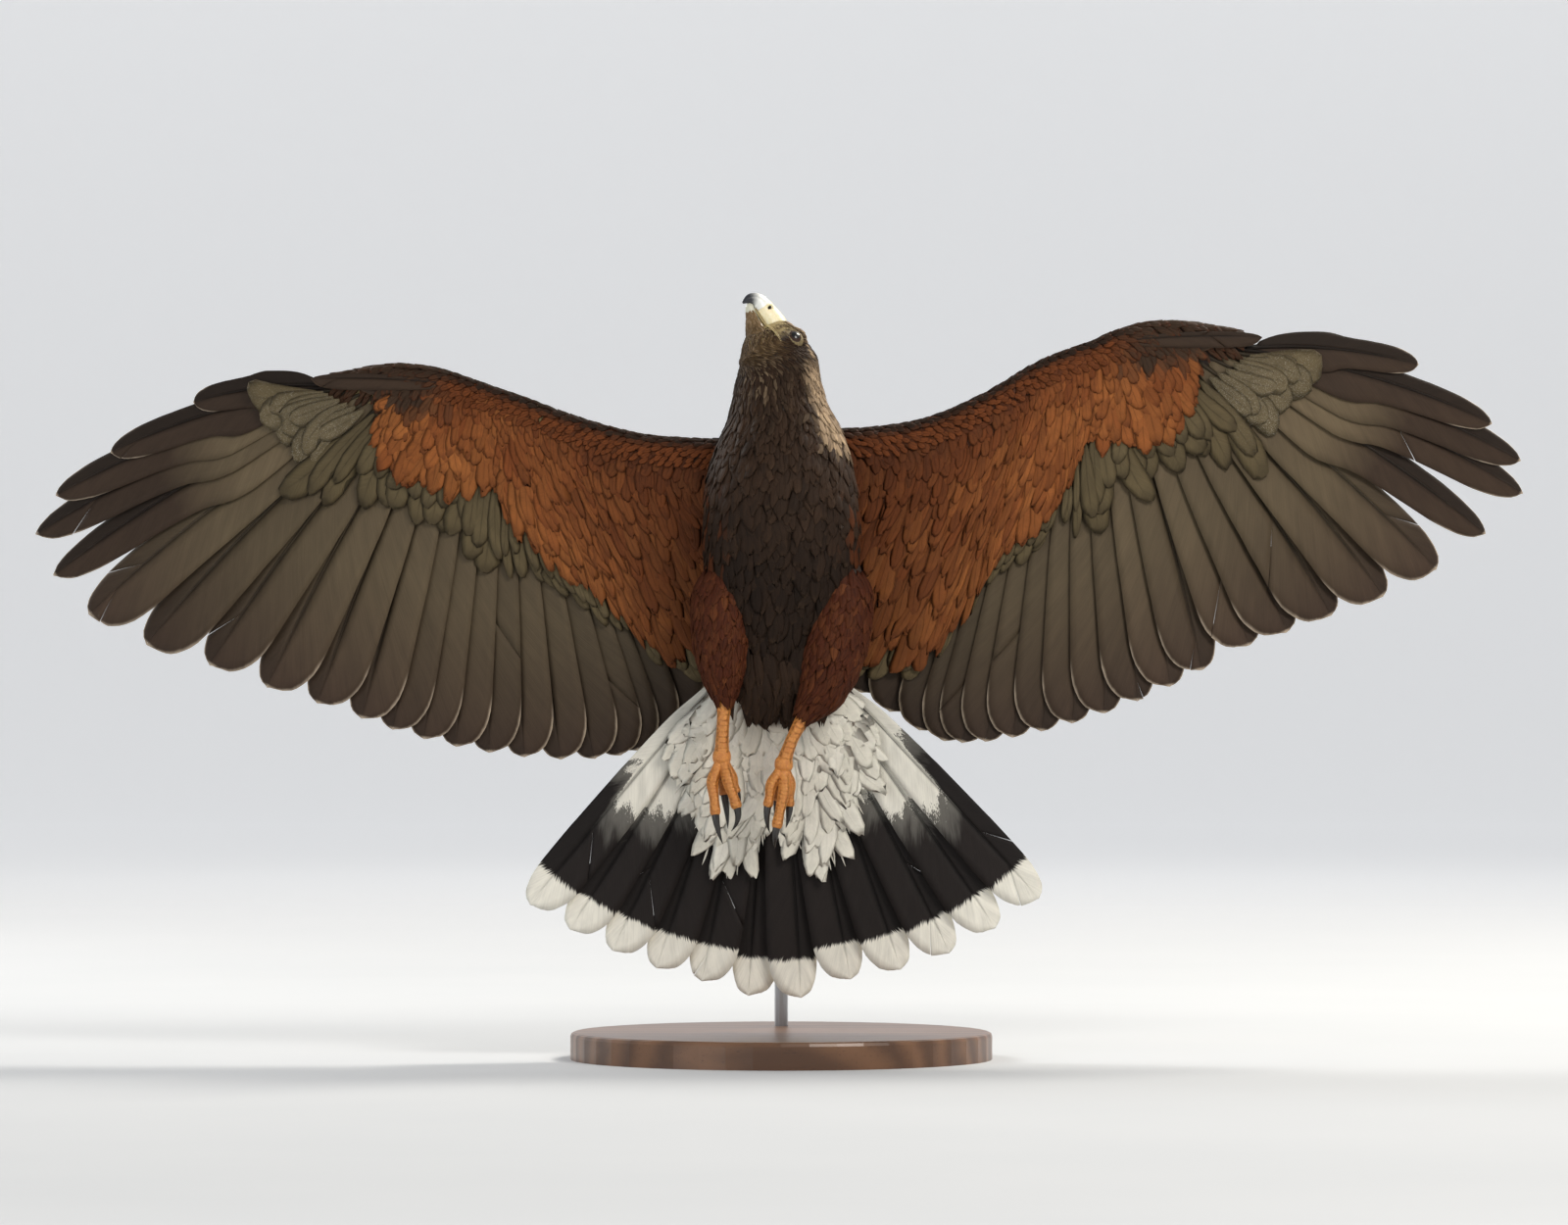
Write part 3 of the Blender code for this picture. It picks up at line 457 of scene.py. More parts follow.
body = {
    "trunk": [
        (0.24, 0.0, -0.013, 0.012, 0.01), (0.246, 0.0, -0.0125, 0.021, 0.018),
        (0.262, 0.0, -0.0105, 0.033, 0.028), (0.29, 0.0, -0.0085, 0.045, 0.04),
        (0.325, 0.0, -0.008, 0.054, 0.049), (0.36, 0.0, -0.0095, 0.0595, 0.055),
        (0.395, 0.0, -0.0105, 0.0605, 0.056), (0.425, 0.0, -0.0095, 0.0575, 0.053),
        (0.452, 0.0005, -0.007, 0.0505, 0.046), (0.467, 0.0006, -0.006, 0.0435, 0.0395),
        (0.481, -0.0012, -0.005, 0.0378, 0.035), (0.495, -0.002, -0.004, 0.0337, 0.0315),
    ],
    # share of the turn, forward, upward, shift in x, half width, half height
    "head": [
        (0.05, -0.008, 0.0, -0.0036, 0.0316, 0.0308), (0.35, 0.001, 0.0, -0.0035, 0.0298, 0.029),
        (0.72, 0.0085, -0.001, -0.0045, 0.027, 0.027), (1.0, 0.0165, -0.0042, 0.0, 0.024, 0.0242),
        (1.0, 0.0225, -0.0034, 0.0, 0.02, 0.0213), (1.0, 0.027, -0.0026, 0.0, 0.0152, 0.0182),
        (1.0, 0.03, -0.0016, 0.0, 0.0108, 0.0148),
    ],
    "headAt": (0.0015, -0.004, 0.5111),
    "turn": 22, "roll": 62,
    # coat depth by height above the vent, along the body
    "coat": [(0.0, 0.003), (0.05, 0.0046), (0.2, 0.0046), (0.235, 0.0036), (0.258, 0.0024), (0.28, 0.0014),
             (0.31, 0.0008)],
    "rows": 300, "sides": 120,
}


def headAxes(share=1.0):
    turn, roll = math.radians(body["turn"]) * share, math.radians(body["roll"]) * share
    forward = Vector((-math.sin(turn), 0, math.cos(turn)))
    level = Vector((math.cos(turn), 0, math.sin(turn)))
    left = level * math.cos(roll) + Vector((0, -1, 0)) * math.sin(roll)
    return forward, left, forward.cross(left)


def headPoint(ahead, out, rise):
    forward, left, up = headAxes()
    return Vector(body["headAt"]) + forward * ahead + left * out + up * rise


def headPlaces(points):
    # the same, from many points to forward, left, up
    axes = np.array([list(a) for a in headAxes()])
    return (np.asarray(points) - np.array(body["headAt"])) @ axes.T


def bodyGrid(inset):
    keys = [(Vector((x, y, z)), 0.0, w, d) for z, x, y, w, d in body["trunk"]]
    for share, ahead, rise, shift, w, d in body["head"]:
        forward, _, up = headAxes(share)
        at = Vector(body["headAt"]) + forward * ahead + up * rise + Vector((shift, 0, 0))
        keys.append((at, share, w, d))
    run, table = 0.0, []
    for i, (at, share, w, d) in enumerate(keys):
        run += (at - keys[i - 1][0]).length if i else 0.0
        table.append((run, *at, share, w, d))
    turns = fullTurn(body["sides"])
    grid = []
    for far in np.linspace(run, 0, body["rows"]):
        x, y, z, share, w, d = (curveAt(table, far, k) for k in range(1, 7))
        _, left, up = headAxes(share)
        depth = curveAt(body["coat"], far) if inset else 0.0
        w, d = max(w - depth, 0.002), max(d - depth, 0.002)
        ring = np.outer(np.cos(turns) * w, np.array(left))
        grid.append(np.array([x, y, z]) + ring + np.outer(np.sin(turns) * d, np.array(up)))
    return np.array(grid), run


head = {
    "eye": (0.012, 0.019, 0.004), "eyeRadius": 0.0075,
    "lidEnd": 1.36,                     # where the lids' skin ends on the ball, as an angle from its front
    # bumps on the face: forward, out, up, spread, height
    "bumps": [
        ((0.014, 0.0212, 0.0112), (0.0088, 0.006, 0.0025), 0.0056),   # brow
        ((0.023, 0.013, 0.003), (0.0045, 0.006, 0.005), -0.0012),  # lore
        ((0.011, 0.0225, -0.0105), (0.006, 0.006, 0.0035), 0.001),  # cheek
        ((0.0138, 0.0225, 0.0035), (0.0092, 0.008, 0.008), 0.0019),   # round the eye
    ],
}


def shapeFace(grid):
    # pushes the face in and out along its own normals
    surface = roundSurface(grid)
    local = headPlaces(grid.reshape(-1, 3)).reshape(grid.shape)
    push = np.zeros(grid.shape[:2])
    for centre, spread, height in head["bumps"]:
        for side in (1, -1):
            away = (local - np.array(centre) * (1, side, 1)) / np.array(spread)
            push += height * np.exp(-(away**2).sum(-1))
    return grid + surface["normal"] * push[..., None]


# Wings: numbers as in the solids. Feathers count outward from the wrist, 1 to 10, and inward, -1 to -14.

wings = {
    "left": {
        "side": 1,
        "bones": [(0.06, 0.4566), (0.1688, 0.4403), (0.2563, 0.5167), (0.348, 0.5246)],
        "fan": [(-14, 0.178, -18.5), (-9, 0.225, -12.5), (-5, 0.236, -0.5), (-1, 0.235, 14.6),
                (1, 0.23, 21.8), (3, 0.232, 33.7), (5, 0.249, 50.1), (7, 0.262, 66.6), (8, 0.243, 70.7),
                (9, 0.204, 74.8), (10, 0.13, 85.2)],
        "core": [(0.02, 0.464, 0.4, 0.026), (0.06, 0.464, 0.368, 0.023), (0.105, 0.471, 0.378, 0.019),
                 (0.15, 0.49, 0.398, 0.016), (0.191, 0.514, 0.424, 0.013), (0.225, 0.527, 0.458, 0.011),
                 (0.258, 0.54, 0.488, 0.01), (0.292, 0.544, 0.502, 0.008), (0.325, 0.54, 0.51, 0.0065),
                 (0.35, 0.535, 0.516, 0.005)],
        "alula": [(0.262, 0.525, 0.326, 0.5345), (0.256, 0.525, 0.305, 0.529), (0.25, 0.522, 0.29, 0.5215)],
        "shield": [(0.252, 0.529, 0.3575, 0.5325), (0.243, 0.5235, 0.322, 0.529)],
        # lower border of the chestnut lining
        "border": [(0.1143, 0.2882), (0.1325, 0.3171), (0.147, 0.3497), (0.1761, 0.3787), (0.2089, 0.4041),
                   (0.2198, 0.4462), (0.2855, 0.4493), (0.3039, 0.4698), (0.3149, 0.5062), (0.318, 0.56)],
    },
    "right": {
        "side": -1,
        "bones": [(0.0593, 0.4472), (0.1608, 0.4185), (0.2482, 0.4913), (0.34, 0.4969)],
        "fan": [(-14, 0.158, -20.5), (-9, 0.214, -15.0), (-5, 0.234, 1.6), (-1, 0.247, 15.6),
                (1, 0.248, 21.4), (3, 0.255, 37.0), (5, 0.283, 53.8), (7, 0.274, 66.8), (8, 0.24, 70.7),
                (9, 0.18, 74.5), (10, 0.1, 83.2)],
        "core": [(0.02, 0.456, 0.388, 0.026), (0.06, 0.456, 0.358, 0.023), (0.105, 0.46, 0.362, 0.019),
                 (0.15, 0.472, 0.376, 0.016), (0.19, 0.487, 0.402, 0.013), (0.222, 0.498, 0.432, 0.011),
                 (0.252, 0.508, 0.462, 0.01), (0.285, 0.512, 0.476, 0.008), (0.315, 0.508, 0.482, 0.0065),
                 (0.342, 0.503, 0.487, 0.005)],
        "alula": [(0.252, 0.495, 0.325, 0.501), (0.247, 0.495, 0.3, 0.496), (0.242, 0.493, 0.284, 0.489)],
        "shield": [(0.244, 0.497, 0.3495, 0.5015), (0.235, 0.492, 0.314, 0.497)],
        "border": [(0.0955, 0.2882), (0.11, 0.3208), (0.1427, 0.3425), (0.1717, 0.3606), (0.2008, 0.3896),
                   (0.2081, 0.415), (0.2592, 0.4129), (0.2885, 0.4261), (0.3031, 0.4479), (0.306, 0.53)],
    },
}
wingSheet = {"start": 0.024, "slope": 0.13, "sweep": 0.8, "sweepFrom": 0.25, "droop": 0.014}
flight = {
    "widths": [(-14, 0.018, 0.024), (-5, 0.016, 0.024), (-1, 0.016, 0.026), (3, 0.015, 0.031),
               (6, 0.013, 0.029), (8, 0.013, 0.026), (10, 0.012, 0.018)],
    "broad": [(0.0, 0.16, 0.1), (0.08, 0.36, 0.28), (0.18, 0.62, 0.5), (0.45, 0.86, 0.84), (0.8, 1.0, 1.0),
              (0.9, 0.95, 0.96), (0.955, 0.74, 0.76), (0.985, 0.46, 0.48), (1.0, 0.0, 0.0)],
    "finger": [(0.0, 0.16, 0.1), (0.17, 0.75, 0.5), (0.4, 1.0, 0.98), (0.47, 0.98, 0.98), (0.56, 0.82, 0.78),
               (0.84, 0.74, 0.64), (0.93, 0.56, 0.48), (0.975, 0.32, 0.28), (1.0, 0.0, 0.0)],
    "alula": [(0.0, 0.25), (0.2, 0.72), (0.65, 1.0), (0.88, 0.82), (0.96, 0.5), (1.0, 0.0)],
    "fingeredFrom": 6, "tilt": 0.13, "shaft": 0.0014,
    "bow": (0.012, 0.003),              # and how much more with each feather of the hand
}


def sheetDepth(wing, x, z):
    bones = np.array(wing["bones"])
    out = np.abs(x)
    behind = np.maximum(0.0, np.interp(out, bones[:, 0], bones[:, 1]) - z) / 0.2
    droop = wingSheet["droop"] * behind**2 * np.clip((out - 0.05) / 0.1, 0, 1)
    return (wingSheet["start"] + wingSheet["slope"] * np.maximum(0, out - 0.06)
            + wingSheet["sweep"] * np.maximum(0, out - wingSheet["sweepFrom"])**2 - droop)


def featherLine(wing, place):
    # root, direction and length at a place between feathers: 0 is the wrist, outward positive
    shoulder, elbow, wrist, finger = (np.array(p) for p in wing["bones"])
    if place >= 0:
        root = wrist + (finger - wrist) * place / 9.5
    elif place >= -10:
        root = wrist + (elbow - wrist) * -place / 10
    else:
        root = elbow + (shoulder - elbow) * (-place - 10) / 5
    number = place * 2 if abs(place) < 0.5 else place + math.copysign(0.5, place)
    angle = math.radians(curveAt(wing["fan"], number, 2))
    return root, np.array([math.sin(angle), -math.cos(angle)]), curveAt(wing["fan"], number, 1)


def coreThickness(wing, x, z):
    # half thickness of the wing's flesh and how far behind its leading edge a place is
    core = np.array(wing["core"])
    lead, rear, thick = (np.interp(np.abs(x), core[:, 0], core[:, k]) for k in (1, 2, 3))
    behind = (lead - z) / (lead - rear)
    return thick / 2 * np.interp(behind, [0, 0.03, 0.08, 0.18, 0.3, 0.66, 1.0, 1.1],
                                 [0, 0.36, 0.62, 0.88, 1.0, 0.66, 0.2, 0.0]), behind


def vanePlace(start, end, side, bow, depthAt, tilt, lift, camber):
    # maps distance along a feather and off its shaft to a point
    start, line = np.array(start), np.array(end) - np.array(start)
    length = np.linalg.norm(line)
    rest = np.array([line[1], -line[0]]) * side / length

    def place(along, off):
        t = along / length
        ahead = line / length - rest * (bow * 4 * (1 - 2 * t))[..., None]
        inward = unit(np.stack([ahead[..., 1] * side, -ahead[..., 0] * side], -1))
        middle = start + line * t[..., None] - rest * (bow * length * 4 * t * (1 - t))[..., None]
        at = middle + inward * off[..., None]
        raised = lift * smoothStep(-0.05, 0.12, t)
        depth = depthAt(at[..., 0], at[..., 1]) - tilt * off - raised - camber * (np.abs(off) / 0.03)**2
        return np.stack([at[..., 0], depth, at[..., 1]], -1)

    return place, length


def growVane(place, length, rows, widths, bake, barbRows=34, columns=4, slits=(1, 2), shaft=0.0014,
             thick=0.0004):
    # shaft and barbs, split here and there. Barbs run forward to the feather's outline.
    fine = np.linspace(0, 1, 160)
    parts = []
    starts = (1 - (1 - np.linspace(0.02, 1, barbRows))**1.15) * 0.985 * length
    slant = np.radians(np.interp(starts / length, [0, 0.6, 0.9, 0.985], [44, 36, 22, 0.6]))
    chance = rng.uniform()
    for side, column in ((-1, 1), (1, 2)):
        outline = curveValues(rows, fine, column) * widths[column - 1]
        reach = np.linspace(0, 2.4 * max(widths), 140)
        far = (starts[:, None] + reach * np.cos(slant)[:, None]) / length
        limit = np.interp(far, fine, outline, right=0)
        barb = reach[np.argmax(reach * np.sin(slant)[:, None] >= limit, axis=1)]
        cutRows, cutCount = np.arange(barbRows // 2, barbRows - 3), rng.integers(*slits, endpoint=True)
        bounds = [0, *sorted(rng.choice(cutRows, cutCount, replace=False)), barbRows - 1]
        for low, high in zip(bounds, bounds[1:]):
            n = high - low + 1
            x = np.linspace(0, 1, columns + 1)
            start, out, lean = (values[low:high + 1, None] for values in (starts, barb, slant))
            along = start + out * x * np.cos(lean)
            off = side * out * x * np.sin(lean)
            gap = rng.uniform(0.0002, 0.0006)
            if low:
                along[0] += gap * x**2
            if high < barbRows - 1:
                along[-1] -= gap * x**2
            mid = place(along, off)
            mid[..., 1] += rng.uniform(-0.0003, 0.0003) * x
            half = thick / 2 * (1 - 0.6 * x)
            top, under = mid.copy(), mid.copy()
            top[..., 1] += half
            under[..., 1] -= half
            ids = np.arange(n * (columns + 1)).reshape(n, columns + 1)
            size = ids.size
            quads = np.stack([ids[:-1, :-1], ids[1:, :-1], ids[1:, 1:], ids[:-1, 1:]], -1).reshape(-1, 4)
            ring = np.concatenate([ids[0, :], ids[1:, -1], ids[-1, -2::-1], ids[-2:0:-1, 0]])
            wall = np.stack([ring, np.roll(ring, -1), np.roll(ring, -1) + size, ring + size], -1)
            faces = np.concatenate([quads, quads[:, ::-1] + size, wall])
            fields = {"share": along / length, "edge": np.broadcast_to(x, along.shape),
                      "barb": np.broadcast_to(start, along.shape), "off": off}
            fields = {key: np.tile(values.ravel(), 2) for key, values in fields.items()}
            fields["upper"] = np.repeat([1.0, 0.0], size)
            points = np.concatenate([top, under]).reshape(-1, 3)
            parts.append({"points": points, "faces": faces, "fields": fields})
    steps, spokes = 22, 6
    along = np.linspace(-0.02, 0.975, steps) * length
    middle = place(along, np.zeros(steps))
    ahead = unit(np.gradient(middle, axis=0))
    across = unit(np.cross(ahead, [0, 1, 0]))
    deep = np.cross(across, ahead)
    radius = shaft * np.interp(along / length, [0, 0.5, 1], [1.0, 0.62, 0.18])
    turns = fullTurn(spokes)
    ring = np.cos(turns)[:, None] * across[:, None] + np.sin(turns)[:, None] * deep[:, None]
    part = gridPart(middle[:, None] + radius[:, None, None] * ring)
    rowShare = np.concatenate([np.repeat(along / length, spokes), [0, 1]])
    heights = np.concatenate([np.repeat(middle[:, 1], spokes), middle[[0, -1], 1]])
    part["fields"] = {"share": rowShare, "edge": rowShare * 0, "barb": rowShare * length,
                      "off": rowShare * 0, "upper": (part["points"][:, 1] > heights) * 1.0}
    parts.append(part)
    made = joinParts(parts)
    fields = made["fields"]
    fields["chance"] = np.full(len(made["points"]), chance)
    low, high = np.array(bake[0]), np.array(bake[1])
    wide = (high[0] - low[0]) / 2
    across = np.clip(fields["off"] / max(widths), -1, 1) * 0.42 + 0.5
    down = low[1] + (high[1] - low[1]) * np.clip(fields["share"] * 0.96 + 0.02, 0, 1)
    fields["bake"] = np.stack([low[0] + wide * (across + fields["upper"]), down], -1)
    return made


def colourVane(part, under, upper, rimUnder, rimUpper, fleck=0.0, webs=0.22):
    # under and upper are lists of (share, colour)
    fields = part["fields"]

    def shades(stops):
        keys = np.array([s for s, _ in stops])
        colours = np.array([c for _, c in stops])
        return np.stack([np.interp(fields["share"], keys, colours[:, k]) for k in range(3)], -1)

    # inner web paler than the outer one
    inner = smoothStep(-0.001, 0.003, fields["off"])[:, None]
    paler = webs * 1.6 * inner * (1 - 0.7 * fields["upper"][:, None])
    vary = rng.uniform(0.9, 1.12) * (1 - webs * 0.6 + paler)
    fields["tint"] = mixRows(shades(under), shades(upper), fields["upper"]) * vary
    fields["rim"] = mixRows(rimUnder, rimUpper, fields["upper"])
    fields["fleck"] = np.full(len(part["points"]), float(fleck)) * (1 - fields["upper"])
    del fields["off"], fields["upper"]
    return part


def wingFlight(name, wing):
    numbers = list(range(-14, 0)) + list(range(1, 11))
    groups = {"secondaries": [], "primaries": []}
    for number in numbers:
        root, way, length = featherLine(wing, number - math.copysign(0.5, number))
        side = wing["side"]
        widths = (curveAt(flight["widths"], number, 1), curveAt(flight["widths"], number, 2))
        fingered = number >= flight["fingeredFrom"]
        bow = flight["bow"][0] + flight["bow"][1] * max(0, number)
        end = root + way * length
        place, size = vanePlace((root[0] * side, root[1]), (end[0] * side, end[1]), side, bow,
                                lambda x, z: sheetDepth(wing, x, z), flight["tilt"], 0.0, 0.001)
        group = "primaries" if number > 0 else "secondaries"
        slot = (number - 1) / 10 if number > 0 else (number + 14) / 14
        strip = 1 / (10 if number > 0 else 14)
        bake = (slot + 0.004, 0.004), (slot + strip - 0.004, 0.996)
        part = growVane(place, size, flight["finger" if fingered else "broad"], widths, bake,
                        slits=(0, 1) if number % 2 else (0, 0),
                        shaft=flight["shaft"] * (1.25 if number > 0 else 0.9))
        under = [(0.0, plumage["vaneBase"]), (0.55, plumage["vaneBase"]), (0.97, plumage["vaneTip"])]
        if fingered:
            under = [(0.0, plumage["vaneBase"]), (0.42, plumage["vaneBase"]), (0.62, plumage["finger"])]
        if number >= 9:
            under = [(0.0, plumage["finger"]), (1.0, plumage["finger"])]
        # flight feathers darker toward the body: painted shade from the body
        bodyShade = 0.42 + 0.46 * smoothStep(-15, 1, number)
        under = [(s, np.array(c) * bodyShade) for s, c in under]
        upper = [(0.0, plumage["backBrown"]), (1.0, plumage["vaneTip"])]
        # pale rims at the undersides' tips: the feathers' own pale fringe, brightened as painted sunlight
        groups[group].append(colourVane(part, under, upper, plumage["paleRim"], plumage["backRim"],
                                        webs=0.55 if fingered else 0.25))
    for group, parts in groups.items():
        node = f"wing_{name}_" + ("hand" if group == "primaries" else "arm")
        makePiece(f"{group}_{name}", joinParts(parts), flightLook, [node])


lining = {
    # the surface's rows from the leading edge to the border, and how far one such share goes on past it
    "perShare": 50.0, "past": 0.1,
    # length, width and spacing: at the leading edge, and how much more at the border
    "rows": 15, "sizes": [(0.011, 0.037), (0.0052, 0.007), (0.0034, 0.0034)],
    # how far the hand's coverts reach behind its leading edge, by feather number
    "handPlaces": (-2, 1, 4, 9.5), "handDepth": (0.02, 0.032, 0.036, 0.022),
    "greater": [(-14, 0.14), (-9, 0.112), (-5, 0.094), (-1, 0.084), (1, 0.082), (5, 0.08), (9, 0.066),
                (10, 0.056)],
    "upperGreater": [(-14, 0.12), (-7, 0.104), (-1, 0.088), (1, 0.086), (5, 0.078), (9, 0.062), (10, 0.05)],
}


def liningRow(back, front, rear):
    # the surface's row at a distance behind the bones
    inside = (back - front) / (rear - front) * lining["perShare"]
    return np.where(back > rear, (1 + (back - rear) / lining["past"]) * lining["perShare"], inside)


def liningSurface(wing, face):
    # face -1 is the underwing. Rows go from the leading edge to the lining's border, then past it.
    side = wing["side"]
    border = np.array(wing["border"])
    columns = []
    places = np.arange(-17.5, 9.51, 0.25)
    reach = []
    for place in places:
        root, way, _ = featherLine(wing, place)
        steps = np.arange(-0.09, 0.24, 0.001)
        line = root + way * steps[:, None]
        _, behind = coreThickness(wing, line[:, 0], line[:, 1])
        inside = behind > 0.0
        front = steps[np.argmax(inside)]
        above = line[:, 1] > np.interp(line[:, 0], border[:, 0], border[:, 1])
        rear = steps[len(steps) - 1 - np.argmax((above & inside)[::-1])]
        reach.append((front, max(rear, front + np.interp(place, lining["handPlaces"], lining["handDepth"]))))
    reach = np.array(reach)
    kernel = np.ones(5) / 5
    padded = np.pad(reach, ((2, 2), (0, 0)), mode="edge")
    reach = np.stack([np.convolve(padded[:, k], kernel, "valid") for k in range(2)], -1)
    shares = np.linspace(0, 1.6, 81)
    for place, (front, rear) in zip(places, reach):
        root, way, _ = featherLine(wing, place)
        steps = np.where(shares < 1, front + (rear - front) * shares, rear + (shares - 1) * lining["past"])
        line = root + way * steps[:, None]
        half, behind = coreThickness(wing, line[:, 0], line[:, 1])
        cover = (0.0046 if face < 0 else 0.003) * smoothStep(-0.02, 0.32, behind)
        depth = sheetDepth(wing, line[:, 0], line[:, 1]) + face * np.maximum(half, cover)
        columns.append(np.stack([line[:, 0] * side, depth, line[:, 1]], -1))
    grid = np.stack(columns, 1)
    return makeSurface(grid, np.array([0, face, 0])), places, reach


def insideLining(wing, surface, r, c):
    # 1 on the chestnut lining, 0 beyond its border
    border = np.array(wing["border"])
    at = surfacePoint(surface, np.minimum(r + 6, 70.0), c)
    edge = np.interp(np.abs(at[:, 0]), border[:, 0], border[:, 1])
    return smoothStep(-0.005, 0.003, at[:, 2] - edge)


def homePlaces(surface, r, c):
    # a feather's place on the bake's map
    rows, columns = surface["grid"].shape[:2]
    return 0.01 + 0.98 * np.stack([np.clip(c / (columns - 1), 0, 1), np.clip(r / (rows - 1), 0, 1)], -1)


def wingLining(name, wing):
    surface, places, reach = liningSurface(wing, -1)
    parts, perShare = [], lining["perShare"]
    for order, tip in enumerate(np.linspace(0.07, 1.0, lining["rows"])):
        length, width, spacing = (start + more * tip for start, more in lining["sizes"])
        c = rowSeeds(surface, tip * perShare, spacing, 0.5 * (order % 2) + 0.25)
        c = c + rng.normal(0, 0.14, len(c))
        place = np.interp(c, np.arange(len(places)), places)
        span = np.interp(place, places, reach[:, 1] - reach[:, 0])
        size = length * np.clip(span / 0.1, 0.45, 1.15)
        yaw = 0.95 * (1 - smoothStep(0.0, 0.42, tip))
        r = tip * perShare - size * math.cos(yaw) / span * perShare + rng.normal(0, 1.0, len(c))
        r = np.maximum(r, 0.2)
        at = surfacePoint(surface, r, c)
        # dark along the leading edge and golden in patches; golden toward the wrist and darker near the
        # body, which is painted shade from the body
        patch = np.sin(at[:, 0] * 92 + 1.3) * np.sin(at[:, 2] * 118 + 0.6)
        outward = smoothStep(0.06, 0.21, np.abs(at[:, 0]))
        gold = 0.02 + 0.4 * smoothStep(0.25, 0.95, tip) + 0.28 * patch + 0.25 * outward
        gold = np.clip(gold + rng.normal(0, 0.16, len(c)), 0, 1)
        dark = np.clip(smoothStep(0.42, 0.0, tip) * 0.75 + rng.normal(0, 0.1, len(c)), 0, 1)
        tint = mixRows(plumage["chestnut"], plumage["chestnutPale"], gold)
        tint = mixRows(tint, plumage["chestnutDark"], dark)
        rim = mixRows(plumage["chestnutDark"], plumage["chestnut"], rng.uniform(0, 0.45, len(c)))
        core = np.array(wing["core"])
        behind = np.interp(np.abs(at[:, 0]), core[:, 0], core[:, 1]) - at[:, 2]
        dusky = smoothStep(0.238, 0.262, np.abs(at[:, 0]) + rng.normal(0, 0.003, len(c)))
        dusky = dusky * smoothStep(0.024, 0.015, behind)
        # darker near the body: painted shade from the body
        tint = mixRows(tint, plumage["duskyHand"], dusky) * (0.62 + 0.38 * outward)[:, None]
        beyond = 1 - insideLining(wing, surface, r, c)
        tint = mixRows(tint, plumage["olive"], beyond)
        rim = mixRows(rim, plumage["oliveRim"], beyond)
        width = width * np.clip(span / 0.1, 0.6, 1.1)
        seeds = seedTable(r, c, size, width, tint, rim, homePlaces(surface, r, c), tilt=0.05, lift=-0.0004,
                          turn=0.08, arch=0.09, yaw=yaw, shades=0.16)
        parts.append(layFeathers(surface, seeds, shingle=0.05))
    # olive greater coverts past the border, in two rows, and the pale flecked ones of the hand
    for order, (back, length, width) in enumerate([(0.013, 0.042, 0.0125), (0.0, 0.052, 0.0165)]):
        place = np.arange(-16.2 + 0.3 * order, 8.3, 0.62 + 0.16 * order)
        place = place + rng.normal(0, 0.06, len(place))
        c = np.interp(place, places, np.arange(len(places)))
        front, rear = (np.interp(place, places, reach[:, k]) for k in (0, 1))
        goal = np.maximum(rear + 0.02, curveValues(lining["greater"], place)) - back
        r = liningRow(goal - length, front, rear)
        hand = smoothStep(3.4, 4.4, place) * smoothStep(8.9, 7.6, place)
        tint = mixRows(plumage["olive"], plumage["fleckGrey"], hand)
        rim = mixRows(plumage["oliveRim"], plumage["olive"], hand)
        length = length * rng.uniform(0.94, 1.06, len(c))
        seeds = seedTable(r, c, length, width, tint, rim, homePlaces(surface, r, c), tilt=0.024,
                          lift=-0.0002 - 0.001 * order, turn=0.02, arch=0.035, fleck=hand, vary=0.05,
                          shades=0.08)
        parts.insert(0, layFeathers(surface, seeds, ragged=0.02, torn=0.02, shingle=0.04))
    makePiece(f"lining_{name}", joinParts(parts), liningLook)


def wingEdge(name, wing):
    # small dark feathers pointing outward round the leading edge
    outs = np.linspace(0.04, wing["core"][-1][0] - 0.001, 70)
    turns = np.linspace(-1, 1, 17)
    rows = []
    for out in outs:
        lead = curveAt(wing["core"], out, 1)
        z = lead - 0.017 * np.abs(turns)**1.5
        half, _ = coreThickness(wing, np.full(17, out), z)
        half = half * 1.04 + 0.0006
        y = sheetDepth(wing, np.full(17, out), z) + np.sign(turns) * half * (np.abs(turns) > 1e-6)
        rows.append(np.stack([np.full(17, out * wing["side"]), y, z + 0.0008 * (1 - np.abs(turns))], -1))
    grid = np.array(rows)
    middle = grid[:, 8:9].copy()
    middle[..., 2] -= 0.02
    surface = makeSurface(grid, grid - middle)
    parts = []
    for order, r in enumerate(np.arange(0.2, 66, 0.75)):
        c = np.linspace(0.6, 15.4, 8) + 0.9 * (order % 2) - 0.45 + rng.normal(0, 0.15, 8)
        away = (c - 8) / 8
        rusty = smoothStep(0.3, 0.6, np.abs(away))
        tint = mixRows(plumage["chocolate"], np.array(plumage["chestnut"]) * 0.8, rusty)
        hand = float(smoothStep(0.236, 0.262, np.interp(r, np.arange(70), outs)))
        tint = mixRows(tint, plumage["duskyHand"], hand * 0.9)
        home = homePlaces(surface, np.full(8, r), c)
        seeds = seedTable(r + rng.normal(0, 0.2, 8), c, 0.009 + 0.005 * hand, 0.0042, tint,
                          plumage["chestnutDark"], home, tilt=0.07, lift=-0.0004, turn=0.08, arch=0.18,
                          yaw=away * 0.75)
        parts.append(layFeathers(surface, seeds, tuftShape))
    makePiece(f"leadingEdge_{name}", joinParts(parts), coverLook)


